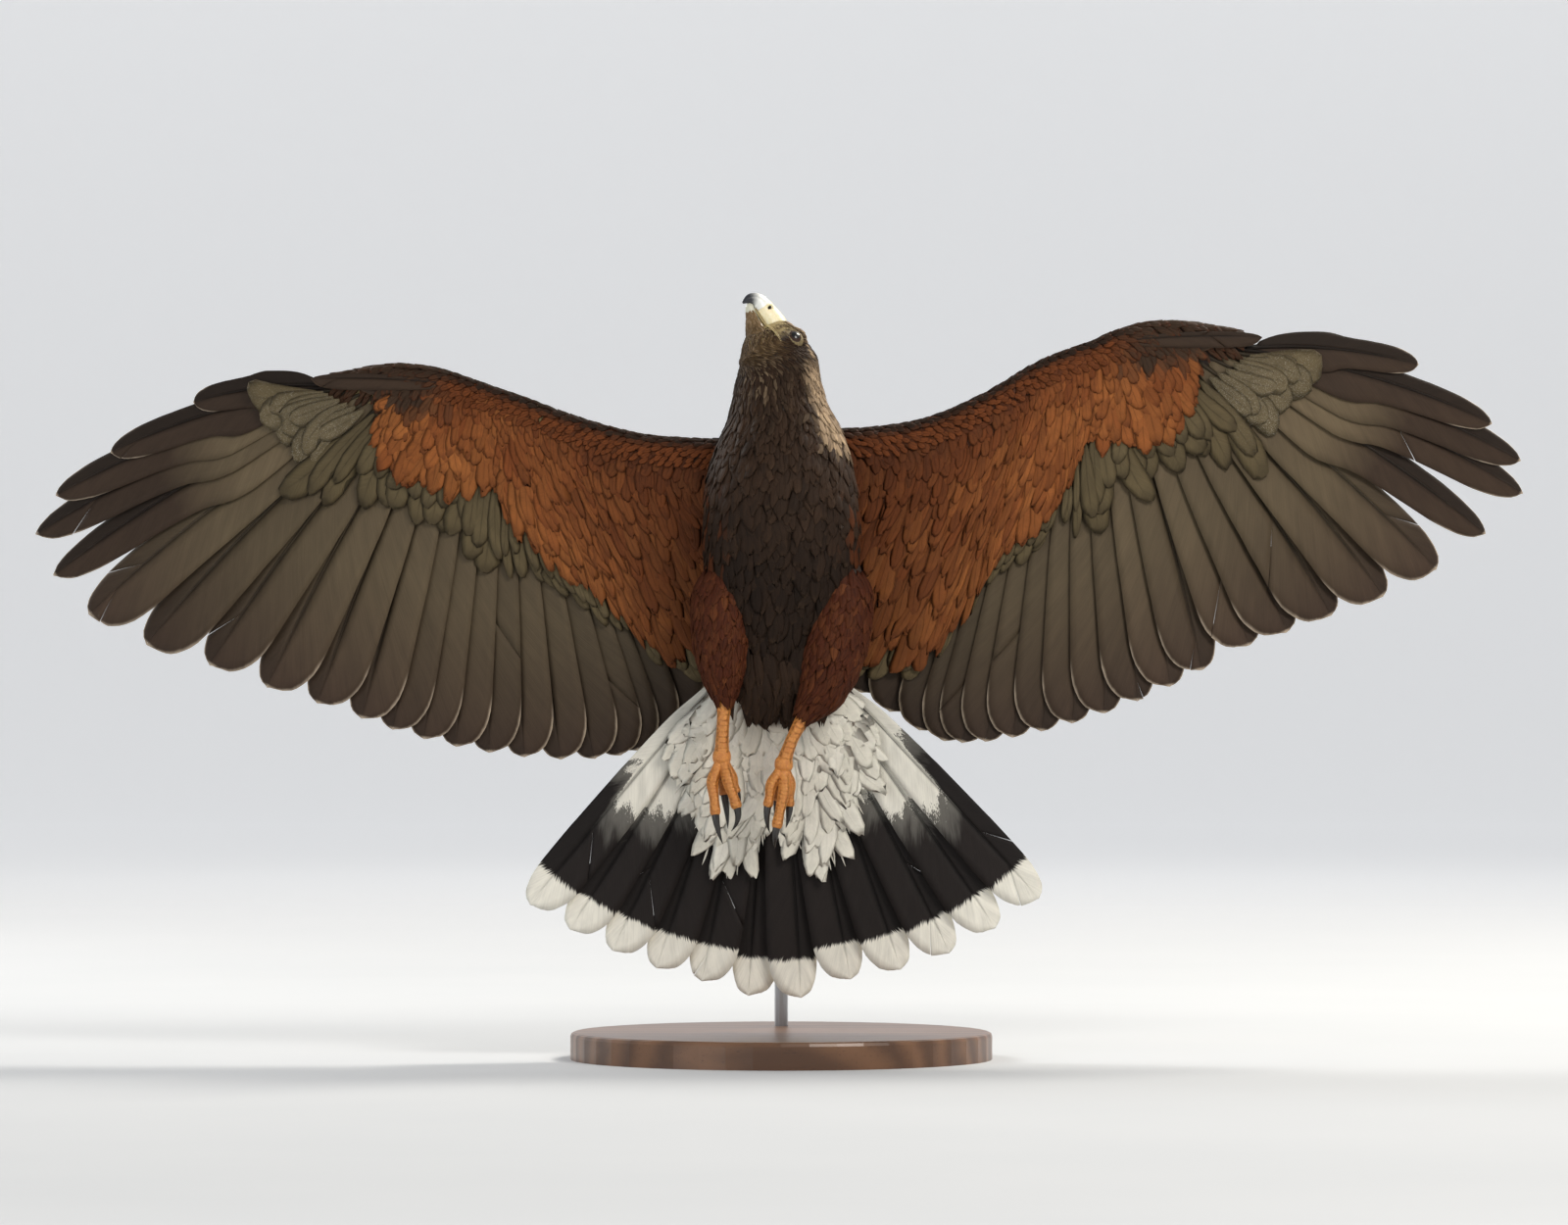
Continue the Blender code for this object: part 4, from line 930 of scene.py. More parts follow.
def wingBack(name, wing):
    surface, places, reach = liningSurface(wing, 1)
    parts = []
    goal = curveValues(lining["upperGreater"], places)
    rows = np.linspace(0.08, 1.0, 15)
    for order, tip in enumerate(rows):
        spacing = 0.004 + 0.0058 * tip
        c = rowSeeds(surface, tip * lining["perShare"] * 0.9, spacing, 0.5 * (order % 2) + 0.25)
        c = c + rng.normal(0, 0.14, len(c))
        place = np.interp(c, np.arange(len(places)), places)
        front, rear, far = (np.interp(place, places, k) for k in (reach[:, 0], reach[:, 1], goal))
        length = (0.012 + 0.03 * tip) * np.clip((far - front) / 0.13, 0.5, 1.2)
        if order == len(rows) - 1:
            length = length * 1.3
        yaw = 0.9 * (1 - smoothStep(0.0, 0.42, tip))
        start = front + (far - front) * tip - length * math.cos(yaw) + rng.normal(0, 0.0015, len(c))
        start = np.maximum(start, front + 0.0005)
        r = liningRow(start, front, rear)
        chestnut = smoothStep(0.74, 0.5, tip + rng.normal(0, 0.07, len(c))) * smoothStep(3.0, 0.5, place)
        tint = mixRows(plumage["backBrown"], np.array(plumage["chestnut"]) * 0.75, chestnut)
        rim = mixRows(plumage["backRim"], plumage["chestnutDark"], chestnut)
        width = 0.0062 + 0.0088 * tip
        seeds = seedTable(r, c, length, width, tint, rim, homePlaces(surface, r, c), tilt=0.05, lift=-0.0004,
                          turn=0.08, arch=0.14, yaw=yaw, shades=0.15)
        parts.append(layFeathers(surface, seeds))
    makePiece(f"upperwing_{name}", joinParts(parts), coverLook)


def wingAlula(name, wing):
    parts = []
    side = wing["side"]
    rows = [(at, wide, wide) for at, wide in flight["alula"]]

    def depthAt(x, z):
        return sheetDepth(wing, x, z)

    for i, (x0, z0, x1, z1) in enumerate(wing["alula"]):
        for layer in (0, 1):
            end = x1 * side - 0.008 * layer * side, z1 + 0.003 * layer
            place, size = vanePlace((x0 * side, z0 + 0.002 * layer), end, side, 0.03, depthAt, 0.05,
                                    -0.0042 + 0.0014 * i - 0.0012 * layer, 0.0006)
            strip = (i * 2 + layer) / 6
            bake = (strip + 0.01, 0.01), (strip + 0.155, 0.99)
            part = growVane(place, size, rows, (0.0085, 0.0085), bake, barbRows=20, columns=3, slits=(0, 1),
                            shaft=0.0007)
            under = [(0, plumage["finger"]), (1, plumage["finger"])]
            upper = [(0, plumage["backBrown"]), (1, plumage["vaneTip"])]
            parts.append(colourVane(part, under, upper, plumage["backRim"], plumage["backRim"]))
    for i, (x0, z0, x1, z1) in enumerate(wing["shield"]):
        place, size = vanePlace((x0 * side, z0), (x1 * side, z1), side, 0.02, depthAt, 0.03,
                                0.0052 - 0.001 * i, 0.0008)
        bake = (0.5 * i + 0.01, 0.01), (0.5 * i + 0.49, 0.99)
        part = growVane(place, size, rows, (0.0034, 0.009), bake, barbRows=22, columns=3, slits=(0, 1),
                        shaft=0.0008)
        dusky = [(0, plumage["duskyHand"]), (1, plumage["finger"])]
        parts.append(colourVane(part, dusky, dusky, plumage["backRim"], plumage["backRim"]))
    makePiece(f"alula_{name}", joinParts(parts), flightLook)


# Tail: six feathers a side fanned from one point above the vent

tail = {
    "fanPoint": (-0.005, 0.3287), "reach": 0.286, "root": 0.066, "pairs": 6,
    "first": 3.9, "step": {1: 7.75, -1: 7.2},       # degrees from the middle, by side
    "widths": (0.0135, 0.0225), "depth": -0.004, "lean": 0.05, "cup": 0.4,
    "core": [(0.29, 0.036, 0.01), (0.268, 0.056, 0.012), (0.25, 0.068, 0.0115), (0.232, 0.068, 0.009),
             (0.214, 0.058, 0.0055), (0.204, 0.046, 0.0025)],
    # white root of each pair, as a share of the feather, from the middle out
    "whiteRoots": (0.28, 0.31, 0.38, 0.48, 0.58, 0.63),
    # how far each pair reaches, from the middle out
    "reaches": {1: (0.995, 0.965, 0.975, 0.985, 0.99, 1.0), -1: (0.99, 0.968, 0.965, 0.965, 0.97, 0.978)},
    # reach of the white coverts by angle: two lobes below
    "lobes": [(-36, 0.135), (-27, 0.15), (-19, 0.172), (-12, 0.198), (-5, 0.178), (0, 0.16), (5, 0.176),
              (10, 0.198), (18, 0.176), (26, 0.152), (36, 0.135)],
}


def tailDepth(x, z):
    return tail["depth"] + tail["lean"] * (0.25 - z) - tail["cup"] * x * x


def tailFeathers():
    centre = np.array(tail["fanPoint"])
    parts = []
    for side in (1, -1):
        for pair in range(tail["pairs"]):
            angle = math.radians(tail["first"] + tail["step"][side] * pair)
            way = np.array([math.sin(angle) * side, -math.cos(angle)])
            reach = tail["reach"] * tail["reaches"][side][pair]
            top = side < 0 and pair == 0
            start, end = centre + way * tail["root"], centre + way * reach
            place, size = vanePlace(start, end, side, 0.004, tailDepth, 0.0 if top else flight["tilt"],
                                    -0.0028 if top else 0.0, 0.0008)
            slot = (pair + (6 if side < 0 else 0)) / 12
            bake = (slot + 0.004, 0.004), (slot + 0.079, 0.996)
            part = growVane(place, size, flight["broad"], tail["widths"], bake, barbRows=44,
                            slits=(0, 1) if pair % 2 else (0, 0), shaft=0.0011)
            outer = smoothStep(0.0005, -0.003, part["fields"]["off"]) * (pair == 5)
            ends = [(0, plumage["black"]), (1, plumage["black"])]
            part = colourVane(part, ends, ends, plumage["white"], plumage["white"])
            part["fields"]["fleck"] = tail["whiteRoots"][pair] - outer * (0.26 if side > 0 else 0.14)
            parts.append(part)
    makePiece("rectrices", joinParts(parts), tailLook, ["tail"])


def tailSurface(face):
    centre = np.array(tail["fanPoint"])
    angles = np.radians(np.linspace(-40, 40, 41))
    far = np.linspace(0.05, 0.21, 65)
    core = np.array(tail["core"])[::-1]
    x = centre[0] + np.outer(far, np.sin(angles))
    z = centre[1] - np.outer(far, np.cos(angles))
    halfWide, halfThick = (np.interp(z, core[:, 0], core[:, k]) for k in (1, 2))
    bulge = halfThick * np.sqrt(np.clip(1 - (x / np.maximum(halfWide, 1e-4))**2, 0, 1))
    bulge = bulge * (z > core[0, 0])
    depth = tailDepth(x, z) + face * np.maximum(bulge, 0.005 if face < 0 else 0.0034)
    return makeSurface(np.stack([x, depth, z], -1), np.array([0, face, 0]))


def plumes(surface, angles, far, length, width, tilt, shape):
    # soft straight plumes that end at a distance from the fan's point
    r = (far - length - 0.05) / 0.0025
    c = (angles + 40) / 2
    tint = mixRows(plumage["white"], plumage["whiteShade"], rng.uniform(0, 0.45, len(r)))
    rim = mixRows(tint, plumage["whiteShade"], np.full(len(r), 0.5))
    seeds = seedTable(r, c, length, width, tint, rim, homePlaces(surface, r, c), tilt=tilt, lift=-0.0004,
                      turn=0.015, arch=0.035, shades=0.03)
    return layFeathers(surface, seeds, shape, ragged=0.03, torn=0.05, shingle=0.02)


coverts = {
    # piece and share of the lobes' reach, below (-1) and above (1) the tail
    "faces": {-1: ("undertail", 1.0), 1: ("uppertail", 0.82)},
    "rows": 13, "firstRow": 0.3, "plumes": 31, "spread": 34,        # spread in degrees to each side
    "root": 0.075, "length": (0.036, 0.034), "width": 0.0104, "tilt": 0.036,
    # loose ends beyond the plumes: from which row on, how many a plume, length, width, tilt
    "looseFrom": 0.6, "loose": 3, "looseSize": (0.02, 0.0012, 0.05),
}


def tailCoverts():
    root, spread = coverts["root"], coverts["spread"]
    for face, (title, reach) in coverts["faces"].items():
        surface = tailSurface(face)
        parts = []
        for order, tip in enumerate(np.linspace(coverts["firstRow"], 1.0, coverts["rows"])):
            angles = np.linspace(-spread, spread, coverts["plumes"] + order % 2)
            angles = angles + rng.normal(0, 0.35, len(angles))
            lobe = curveValues(tail["lobes"], angles) * reach
            far = root + (lobe - root) * tip * rng.uniform(0.975, 1.015, len(angles))
            length = np.minimum(coverts["length"][0] + coverts["length"][1] * tip, far - 0.052)
            parts.append(plumes(surface, angles, far, length, coverts["width"], coverts["tilt"], plumeShape))
            if tip > coverts["looseFrom"]:
                loose = np.repeat(angles, coverts["loose"])
                loose = loose + rng.normal(0, 0.8, len(loose))
                beyond = np.repeat(far, coverts["loose"]) + rng.uniform(-0.004, 0.004, len(loose))
                parts.append(plumes(surface, loose, beyond, *coverts["looseSize"], tuftShape))
        makePiece(title, joinParts(parts), plumeLook)


fringe = {
    "top": 0.305, "height": 0.08, "halfWidth": 0.05, "roundWidth": 0.058, "middle": -0.0085,
    # how far it stands out, by share of its height from the top
    "depth": [(0.0, 0.04), (0.45, 0.034), (0.8, 0.022), (1.0, 0.016)],
    # rows of feathers: height of their tips, half width
    "rows": [(0.272, 0.047), (0.264, 0.046), (0.257, 0.043), (0.251, 0.038), (0.245, 0.032)],
    "count": 17, "width": 0.0095, "length": (0.026, 0.034),
}


def ventFringe():
    # the belly's last long feathers, hanging in a ragged edge over the white coverts
    top, height, halfWidth = fringe["top"], fringe["height"], fringe["halfWidth"]
    columns, lines = 21, 33
    x = np.linspace(-halfWidth, halfWidth, columns)
    rows = []
    for down in np.linspace(0, 1, lines):
        bulge = np.sqrt(np.clip(1 - (x / fringe["roundWidth"])**2, 0, 1))
        y = fringe["middle"] - curveAt(fringe["depth"], down) * bulge
        rows.append(np.stack([x * (1 - 0.12 * down), y, np.full(columns, top - height * down)], -1))
    surface = makeSurface(np.array(rows), np.array([0, -1, 0]))
    parts = []
    for order, (end, span) in enumerate(fringe["rows"]):
        count = fringe["count"] - order
        at = np.linspace(-span, span, count) + rng.normal(0, 0.0012, count)
        length = rng.uniform(*fringe["length"], count)
        tipZ = end + rng.normal(0, 0.003, count) + 0.1 * at**2 / 0.05
        r = (top - tipZ - length) / height * (lines - 1)
        c = (at + halfWidth) / (2 * halfWidth) * (columns - 1)
        tint = np.broadcast_to(plumage["chocolate"], (count, 3)) * rng.uniform(0.7, 1.3, (count, 1))
        seeds = seedTable(r, c, length, fringe["width"], tint, plumage["chocolateRim"],
                          homePlaces(surface, r, c), tilt=0.05, lift=-0.0006, turn=0.08, arch=0.16)
        parts.append(layFeathers(surface, seeds, wispShape, ragged=0.12, torn=0.14))
    makePiece("ventFringe", joinParts(parts), softLook)


# Legs

legs = {
    "right": {
        "thigh": [(-0.04, -0.014, 0.362, 0.016), (-0.042, -0.022, 0.338, 0.024),
                  (-0.043, -0.032, 0.305, 0.0225), (-0.0425, -0.0395, 0.28, 0.0155),
                  (-0.0415, -0.0425, 0.2665, 0.0092)],
        "tarsus": [(-0.0414, -0.0427, 0.276, 0.0058), (-0.0414, -0.0427, 0.2662, 0.0056),
                   (-0.0424, -0.0432, 0.248, 0.0046), (-0.0432, -0.043, 0.232, 0.005),
                   (-0.0434, -0.0425, 0.2235, 0.0058)],
        "palm": (-0.0434, -0.0425, 0.2235),
        "toes": [
            ("inner", (-0.05, -0.0455, 0.205), (-0.0478, -0.05, 0.18), (-0.0425, -0.047, 0.1592), 0.004),
            ("middle", (-0.0385, -0.048, 0.205), (-0.032, -0.05, 0.185), (-0.0365, -0.046, 0.1685), 0.0041),
            ("outer", (-0.036, -0.0395, 0.208), (-0.0325, -0.0385, 0.196), (-0.031, -0.0365, 0.183), 0.0036),
            ("rear", (-0.044, -0.0365, 0.208), (-0.0415, -0.0375, 0.1945), (-0.039, -0.034, 0.17), 0.0038),
        ],
    },
    "left": {
        "thigh": [(0.044, -0.014, 0.362, 0.016), (0.044, -0.022, 0.336, 0.024), (0.038, -0.034, 0.3, 0.0245),
                  (0.03, -0.0415, 0.272, 0.0185), (0.018, -0.045, 0.2545, 0.0092)],
        "tarsus": [(0.0235, -0.0452, 0.264, 0.0058), (0.0178, -0.0452, 0.2542, 0.0056),
                   (0.009, -0.045, 0.238, 0.0046), (0.0042, -0.044, 0.226, 0.005),
                   (0.0018, -0.043, 0.218, 0.0058)],
        "palm": (0.0018, -0.043, 0.218),
        "toes": [
            ("inner", (-0.007, -0.0465, 0.203), (-0.01, -0.049, 0.186), (-0.0082, -0.044, 0.1672), 0.0038),
            ("middle", (0.002, -0.048, 0.198), (-0.0036, -0.0515, 0.1705), (-0.0045, -0.046, 0.156), 0.0041),
            ("outer", (0.0065, -0.0415, 0.203), (0.006, -0.041, 0.186), (0.0035, -0.0385, 0.171), 0.0036),
            ("rear", (-0.002, -0.0365, 0.204), (-0.003, -0.037, 0.19), (-0.001, -0.0335, 0.168), 0.0038),
        ],
    },
}


def tubeGrid(rows, steps, sides, shape=None):
    # round grid through points with a radius each; shape(share, turn) scales the radius
    rows = np.array(rows, float)
    run = runningLength(rows[:, :3])
    table = [(d, *row) for d, row in zip(run, rows)]
    at = np.linspace(0, run[-1], steps)
    middle = np.stack([curveValues(table, at, k) for k in (1, 2, 3)], -1)
    radius = curveValues(table, at, 4)
    ahead = unit(np.gradient(middle, axis=0))
    across = unit(np.cross(ahead, [0, 1, 0]))
    front = np.cross(across, ahead)
    turns = fullTurn(sides)
    size = radius[:, None] * (shape(at[:, None], turns[None, :], run[-1]) if shape else 1.0)
    ring = np.cos(turns)[:, None] * across[:, None] + np.sin(turns)[:, None] * front[:, None]
    return middle[:, None] + size[..., None] * ring


trousers = {
    "inside": 0.93,                     # the feathers' roots, as a share of the thigh's radius
    "rows": (4, 77, 2.6), "spacing": 0.0048,
    # at the knee, and how much less at the heel
    "length": (0.019, 0.006), "width": (0.0085, 0.002),
}


def thighFeathers(name, leg):
    rows = [(*row[:3], row[3] * trousers["inside"]) for row in leg["thigh"]]
    grid = tubeGrid(rows, 80, 48)
    surface = roundSurface(grid)
    parts = []
    for order, r in enumerate(np.arange(*trousers["rows"])):
        c = rowSeeds(surface, r, trousers["spacing"], 0.5 * (order % 2))
        c = c + rng.normal(0, 0.5, len(c))
        down = r / 80
        pale = np.clip(rng.normal(0.05, 0.1, len(c)), 0, 1)
        chestnut = np.array(plumage["chestnut"])
        tint = mixRows(chestnut * (0.34, 0.28, 0.34), plumage["chestnutPale"], pale * 0.7)
        rim = mixRows(plumage["chestnutDark"], chestnut * 0.6, rng.uniform(0, 0.7, len(c)))
        rr = np.full(len(c), r) + rng.normal(0, 0.5, len(c))
        length, width = (start - less * down for start, less in (trousers["length"], trousers["width"]))
        seeds = seedTable(rr, c, length, width, tint, rim, homePlaces(surface, rr, c),
                          tilt=0.11, lift=-0.0006, turn=0.1, arch=0.26)
        parts.append(layFeathers(surface, seeds, wispShape))
    makePiece(f"thighFeathers_{name}", joinParts(parts), coverLook)
    return rows


foot = {
    # the palm's ball: height over its middle, radius
    "ball": [(0.0062, 0.003), (0.003, 0.006), (0.0, 0.0067), (-0.004, 0.0062), (-0.0072, 0.003)],
    # a toe's end: share past its last joint, share of its radius
    "toeEnd": ((-0.25, 0.98), (-0.06, 0.78), (0.03, 0.45)),
    # plates: pitch, width, and where they start and end. A toe's are 1.75 times its radius wide.
    "tarsusPlates": (0.004, 0.0086, 0.1, 0.9),
    "toePlates": (0.0027, 1.75, 0.2, 0.9),
    "voxel": 0.00045, "smoothing": 2,
}
scuteShape = [(0.0, 0.7), (0.12, 0.92), (0.55, 1.0), (0.9, 0.94), (1.0, 0.66)]


def legSkin(name, leg, look):
    # tarsus and toes grown into one closed skin, with pads under the toes
    palm = np.array(leg["palm"])
    parts = [gridPart(tubeGrid(leg["tarsus"], 130, 48))]
    scales = [scuteRow(tubeGrid(leg["tarsus"], 130, 48), *foot["tarsusPlates"])]
    ball = [(*(palm + (0, 0, rise)), radius) for rise, radius in foot["ball"]]
    parts.append(gridPart(tubeGrid(ball, 40, 40)))

    def pads(at, turns, total):
        # soft pads on the back of the toe
        swell = 0.5 + 0.5 * np.cos(at / total * 2 * math.pi * 3)
        return 1 + 0.14 * np.clip(np.sin(turns), 0, 1)**2 * swell

    for _, knuckle, end, _, radius in leg["toes"]:
        knuckle, end = np.array(knuckle), np.array(end)
        first, second = palm + (knuckle - palm) * 0.55, knuckle + (end - knuckle) * 0.55
        rows = [(*palm, radius * 0.85), (*first, radius * 0.98), (*knuckle, radius * 1.12),
                (*second, radius * 0.88)]
        rows += [(*(end + (end - second) * past), radius * size) for past, size in foot["toeEnd"]]
        parts.append(gridPart(tubeGrid(rows, 90, 32, pads)))
        pitch, width, start, stop = foot["toePlates"]
        scales.append(scuteRow(tubeGrid(rows, 90, 32), pitch, radius * width, start, stop))
    piece = addObject(f"foot_skin_{name}", makeMesh(name, joinParts(parts)))
    applyRemesh(piece, foot["voxel"], foot["smoothing"])
    piece.data.materials.append(look)
    finishPiece(piece, [f"tarsus_{name}", f"foot_{name}"])
    plates = joinParts(scales)
    plates["fields"] = {}
    makePiece(f"scutes_{name}", plates, look)


def scuteRow(grid, pitch, width, start, end):
    # overlapping plates down the front of a tube
    surface = roundSurface(grid)
    middle = grid.mean(1)
    run = runningLength(middle)
    at = np.arange(run[-1] * start, run[-1] * end, pitch)
    r = np.interp(at, run, np.arange(len(run)))
    c = np.full(len(r), grid.shape[1] * 0.75)
    tan = (0.5, 0.3, 0.1)
    seeds = seedTable(r, c, pitch * 1.35, width, tan, tan, homePlaces(surface, r, c), tilt=0.11,
                      lift=0.00002, turn=0.03, arch=0.02, vary=0.05)
    return layFeathers(surface, seeds, scuteShape, ragged=0.01, torn=0.0)


def applyModifiers(piece):
    data = bpy.data.meshes.new_from_object(piece.evaluated_get(bpy.context.evaluated_depsgraph_get()))
    piece.modifiers.clear()
    piece.data = data
    data.shade_smooth()


def applyRemesh(piece, voxel, smoothing):
    remesh = piece.modifiers.new("remesh", "REMESH")
    remesh.mode = "VOXEL"
    remesh.voxel_size = voxel
    remesh.use_smooth_shade = True
    soft = piece.modifiers.new("soften", "SMOOTH")
    soft.factor = 0.5
    soft.iterations = smoothing
    bpy.context.view_layer.update()
    applyModifiers(piece)


clawSize = {"root": 0.0027, "tip": 0.00012, "curl": 0.58, "sunk": 0.0012}


def claws(name, leg, look):
    for toe, knuckle, end, tip, _ in leg["toes"]:
        knuckle, end, tip = np.array(knuckle), np.array(end), np.array(tip)
        second = knuckle + (end - knuckle) * 0.55
        out = (end - second) / np.linalg.norm(end - second)
        bend = out * (np.linalg.norm(tip - end) * clawSize["curl"])
        start = end - out * clawSize["sunk"]
        rows = []
        for t in np.linspace(0, 1, 14):
            point = start * (1 - t)**2 + (start + bend) * (2 * t * (1 - t)) + tip * t * t
            rows.append((*point, clawSize["root"] * (1 - t**1.5) + clawSize["tip"]))
        part = gridPart(tubeGrid(rows, 60, 24))
        makePiece(f"claw_{name}_{toe}_horn", part, look, [f"claw_{name}_{toe}"])


# Skin

def wingCore(wing, inset):
    outline = [(0.0, 0.0), (0.03, 0.36), (0.08, 0.62), (0.18, 0.88), (0.3, 1.0), (0.48, 0.86), (0.66, 0.62),
               (0.85, 0.38), (1.0, 0.18)]
    rows = []
    for out in np.linspace(wing["core"][0][0], wing["core"][-1][0], 60):
        lead, rear, thick = (curveAt(wing["core"], out, k) for k in (1, 2, 3))
        # drawn in at the outer end
        small = math.sqrt(min(1.0, max(0.01, (wing["core"][-1][0] - 0.008 - out) / 0.03)))
        middle, chord = (lead + rear) / 2, (lead - rear - 2 * inset) * small
        thick = max(thick - 2 * inset, 0.0016) * small
        upper = [(middle + chord / 2 - chord * share, thick / 2 * part) for share, part in outline]
        loop = upper + [(z, -half) for z, half in reversed(upper[1:])] + [(upper[0][0], -0.0002)]
        x = out * wing["side"]
        rows.append([(x, float(sheetDepth(wing, out, z)) + half, z) for z, half in loop])
    return gridPart(np.array(rows))


def tailCore(inset):
    rows = []
    for z in np.linspace(0.29, 0.204, 30):
        wide, thick = (curveAt(tail["core"][::-1], z, k) for k in (1, 2))
        wide, thick = wide - inset, max(thick - inset, 0.001)
        rows.append([(math.cos(a) * wide, tailDepth(0, z) + math.sin(a) * thick, z) for a in fullTurn(32)])
    return gridPart(np.array(rows))


def bodySkin(bodyPoints, thighRows, look):
    inset = 0.0015
    parts = [gridPart(bodyPoints), tailCore(0.002)]
    parts += [wingCore(wing, inset) for wing in wings.values()]
    parts += [gridPart(tubeGrid([(*r[:3], r[3] - 0.0012) for r in rows], 60, 32)) for rows in thighRows]
    others = bpy.data.collections.new("skin parts")
    pieces = []
    for i, part in enumerate(parts):
        mesh = makeMesh(f"skin part {i}", part)
        bm = bmesh.new()
        bm.from_mesh(mesh)
        bmesh.ops.recalc_face_normals(bm, faces=bm.faces)
        bm.to_mesh(mesh)
        bm.free()
        pieces.append(bpy.data.objects.new(f"skin part {i}", mesh))
        (others if i else bpy.context.scene.collection).objects.link(pieces[-1])
    piece = pieces[0]
    piece.name = "skin"
    union = piece.modifiers.new("union", "BOOLEAN")
    union.operation, union.solver = "UNION", "EXACT"
    union.operand_type, union.collection = "COLLECTION", others
    applyModifiers(piece)
    for other in pieces[1:]:
        bpy.data.objects.remove(other)
    bpy.data.collections.remove(others)
    mesh = piece.data
    points = np.empty(len(mesh.vertices) * 3, np.float32)
    mesh.vertices.foreach_get("co", points)
    paintPoints(mesh, "tint", markingAt(points.reshape(-1, 3).astype(float)))
    mesh.materials.clear()
    mesh.materials.append(look)
    finishPiece(piece, ["torso", "neck", "head", "thigh_left", "thigh_right"])


def markingAt(points):
    # the plumage's colour by place, for skin and coat alike
    x, _, z = points.T
    colours = np.broadcast_to(plumage["chocolate"], points.shape).copy()
    wingZone = smoothStep(0.06, 0.075, np.abs(x)) * smoothStep(0.28, 0.3, z)
    colours = mixRows(colours, np.array(plumage["chestnut"]) * 0.7, wingZone)
    colours = mixRows(colours, plumage["chocolate"], smoothStep(0.285, 0.305, np.abs(x)))
    tailZone = smoothStep(0.25, 0.24, z)
    colours = mixRows(colours, plumage["white"], tailZone)
    local = headPlaces(points)
    face = smoothStep(0.0162, 0.0185, local[:, 0]) * (z > 0.4)
    lore = mixRows((0.3, 0.225, 0.09), (0.11, 0.085, 0.045), smoothStep(0.024, 0.016, local[:, 0]))
    return mixRows(colours, lore, face)


def skinLook():
    made, tree, shader = makeShader("skin")
    cloud = noise(tree, objectPlaces(tree), 160.0)
    colour = blendColour(tree, times(tree, cloud, 0.35), field(tree, "tint", True), (0.02, 0.012, 0.008))
    setShader(tree, shader, colour, {"Roughness": 0.75})
    addBump(tree, shader, cloud, 0.4, 0.0006)
    return made


# Feathers of the body, neck and head

coat = {
    # by distance from the bill's root: row step, length, width, spacing, tilt
    "sizes": [(0.0, 0.0012, 0.0036, 0.0015, 0.0011, 0.13), (0.015, 0.0015, 0.0052, 0.0017, 0.0013, 0.11),
              (0.03, 0.002, 0.0084, 0.0022, 0.0016, 0.1), (0.05, 0.0028, 0.013, 0.0031, 0.0022, 0.09),
              (0.075, 0.0038, 0.018, 0.0052, 0.0036, 0.09), (0.13, 0.005, 0.0235, 0.0098, 0.0066, 0.09),
              (0.23, 0.0054, 0.025, 0.0104, 0.007, 0.09), (0.31, 0.005, 0.023, 0.009, 0.006, 0.11)],
    "first": 0.0015, "bare": 0.026,             # where the first row lies, and what is left bare at the vent
    "tufts": 0.045, "head": 0.05, "neck": 0.095,    # how far these reach from the bill's root
    "sideSeam": -0.008,                         # y where breast and mantle meet
    "bristles": 260, "bristleReach": 0.016,
}


def bodyGroups(at, points):
    # which of the body's pieces each feather of a row belongs to
    if at < coat["neck"]:
        near = "head" if at < coat["head"] else "neck"
        return {near: np.ones(len(points), bool)}
    front = points[:, 1] < coat["sideSeam"]
    return {"breast": front, "mantle": ~front}


def bodyFeathers(outer, run):
    surface = roundSurface(outer)
    groups = {"head": [], "neck": [], "breast": [], "mantle": []}
    at, order = coat["first"], 0
    while at < run - coat["bare"]:
        step, length, width, spacing, tilt = (curveAt(coat["sizes"], at, k) for k in range(1, 6))
        r = at / run * (body["rows"] - 1)
        c = rowSeeds(surface, r, spacing, 0.5 * (order % 2))
        c = c + rng.normal(0, 0.16, len(c)) * (c[1] - c[0])
        rr = np.full(len(c), r) + rng.normal(0, 0.3, len(c)) * step / run * body["rows"]
        points = surfacePoint(surface, rr, c)
        shape = tuftShape if at < coat["tufts"] else (wispShape if order % 2 == 0 else coverShape)
        for group, chosen in bodyGroups(at, points).items():
            chosen = chosen & faceMask(points)
            if chosen.any():
                tint, rim = bodyColours(points[chosen])
                seeds = seedTable(rr[chosen], c[chosen], length, width, tint, rim,
                                  homePlaces(surface, rr[chosen], c[chosen]), tilt=tilt, lift=-0.08 * length,
                                  turn=0.13, arch=0.16, shades=0.08)
                groups[group].append(layFeathers(surface, seeds, shape, ragged=0.12, torn=0.11))
        at += step
        order += 1
    for group, parts in groups.items():
        look = softLook if group == "breast" else coverLook
        makePiece(f"feathers_{group}", joinParts(parts), look)


def onLore(local):
    # the bare wedge from the cere back to the eye, between brow and gape
    top = 0.0074 + (0.03 - local[:, 0]) * 0.22
    return ((local[:, 0] > 0.0165) & (np.abs(local[:, 1]) > 0.0045) & (local[:, 2] < top)
            & (local[:, 2] > -0.007 - (0.03 - local[:, 0]) * 0.1))


def nearEye(local, size=1.0):
    near = np.zeros(len(local), bool)
    for side in (1, -1):
        centre = (head["eye"][0] + 0.0021, head["eye"][1] * side, head["eye"][2] - 0.001)
        away = (local - centre) / (0.0056 * size, 0.02, 0.0047 * size)
        near |= ((away**2).sum(1) < 1) & (local[:, 1] * side > 0)
    return near


def faceMask(points):
    # feathers stay off the eyes, the lores and the root of the bill
    local = headPlaces(points)
    return ~nearEye(local) & ~onLore(local) & (local[:, 0] < 0.0292)


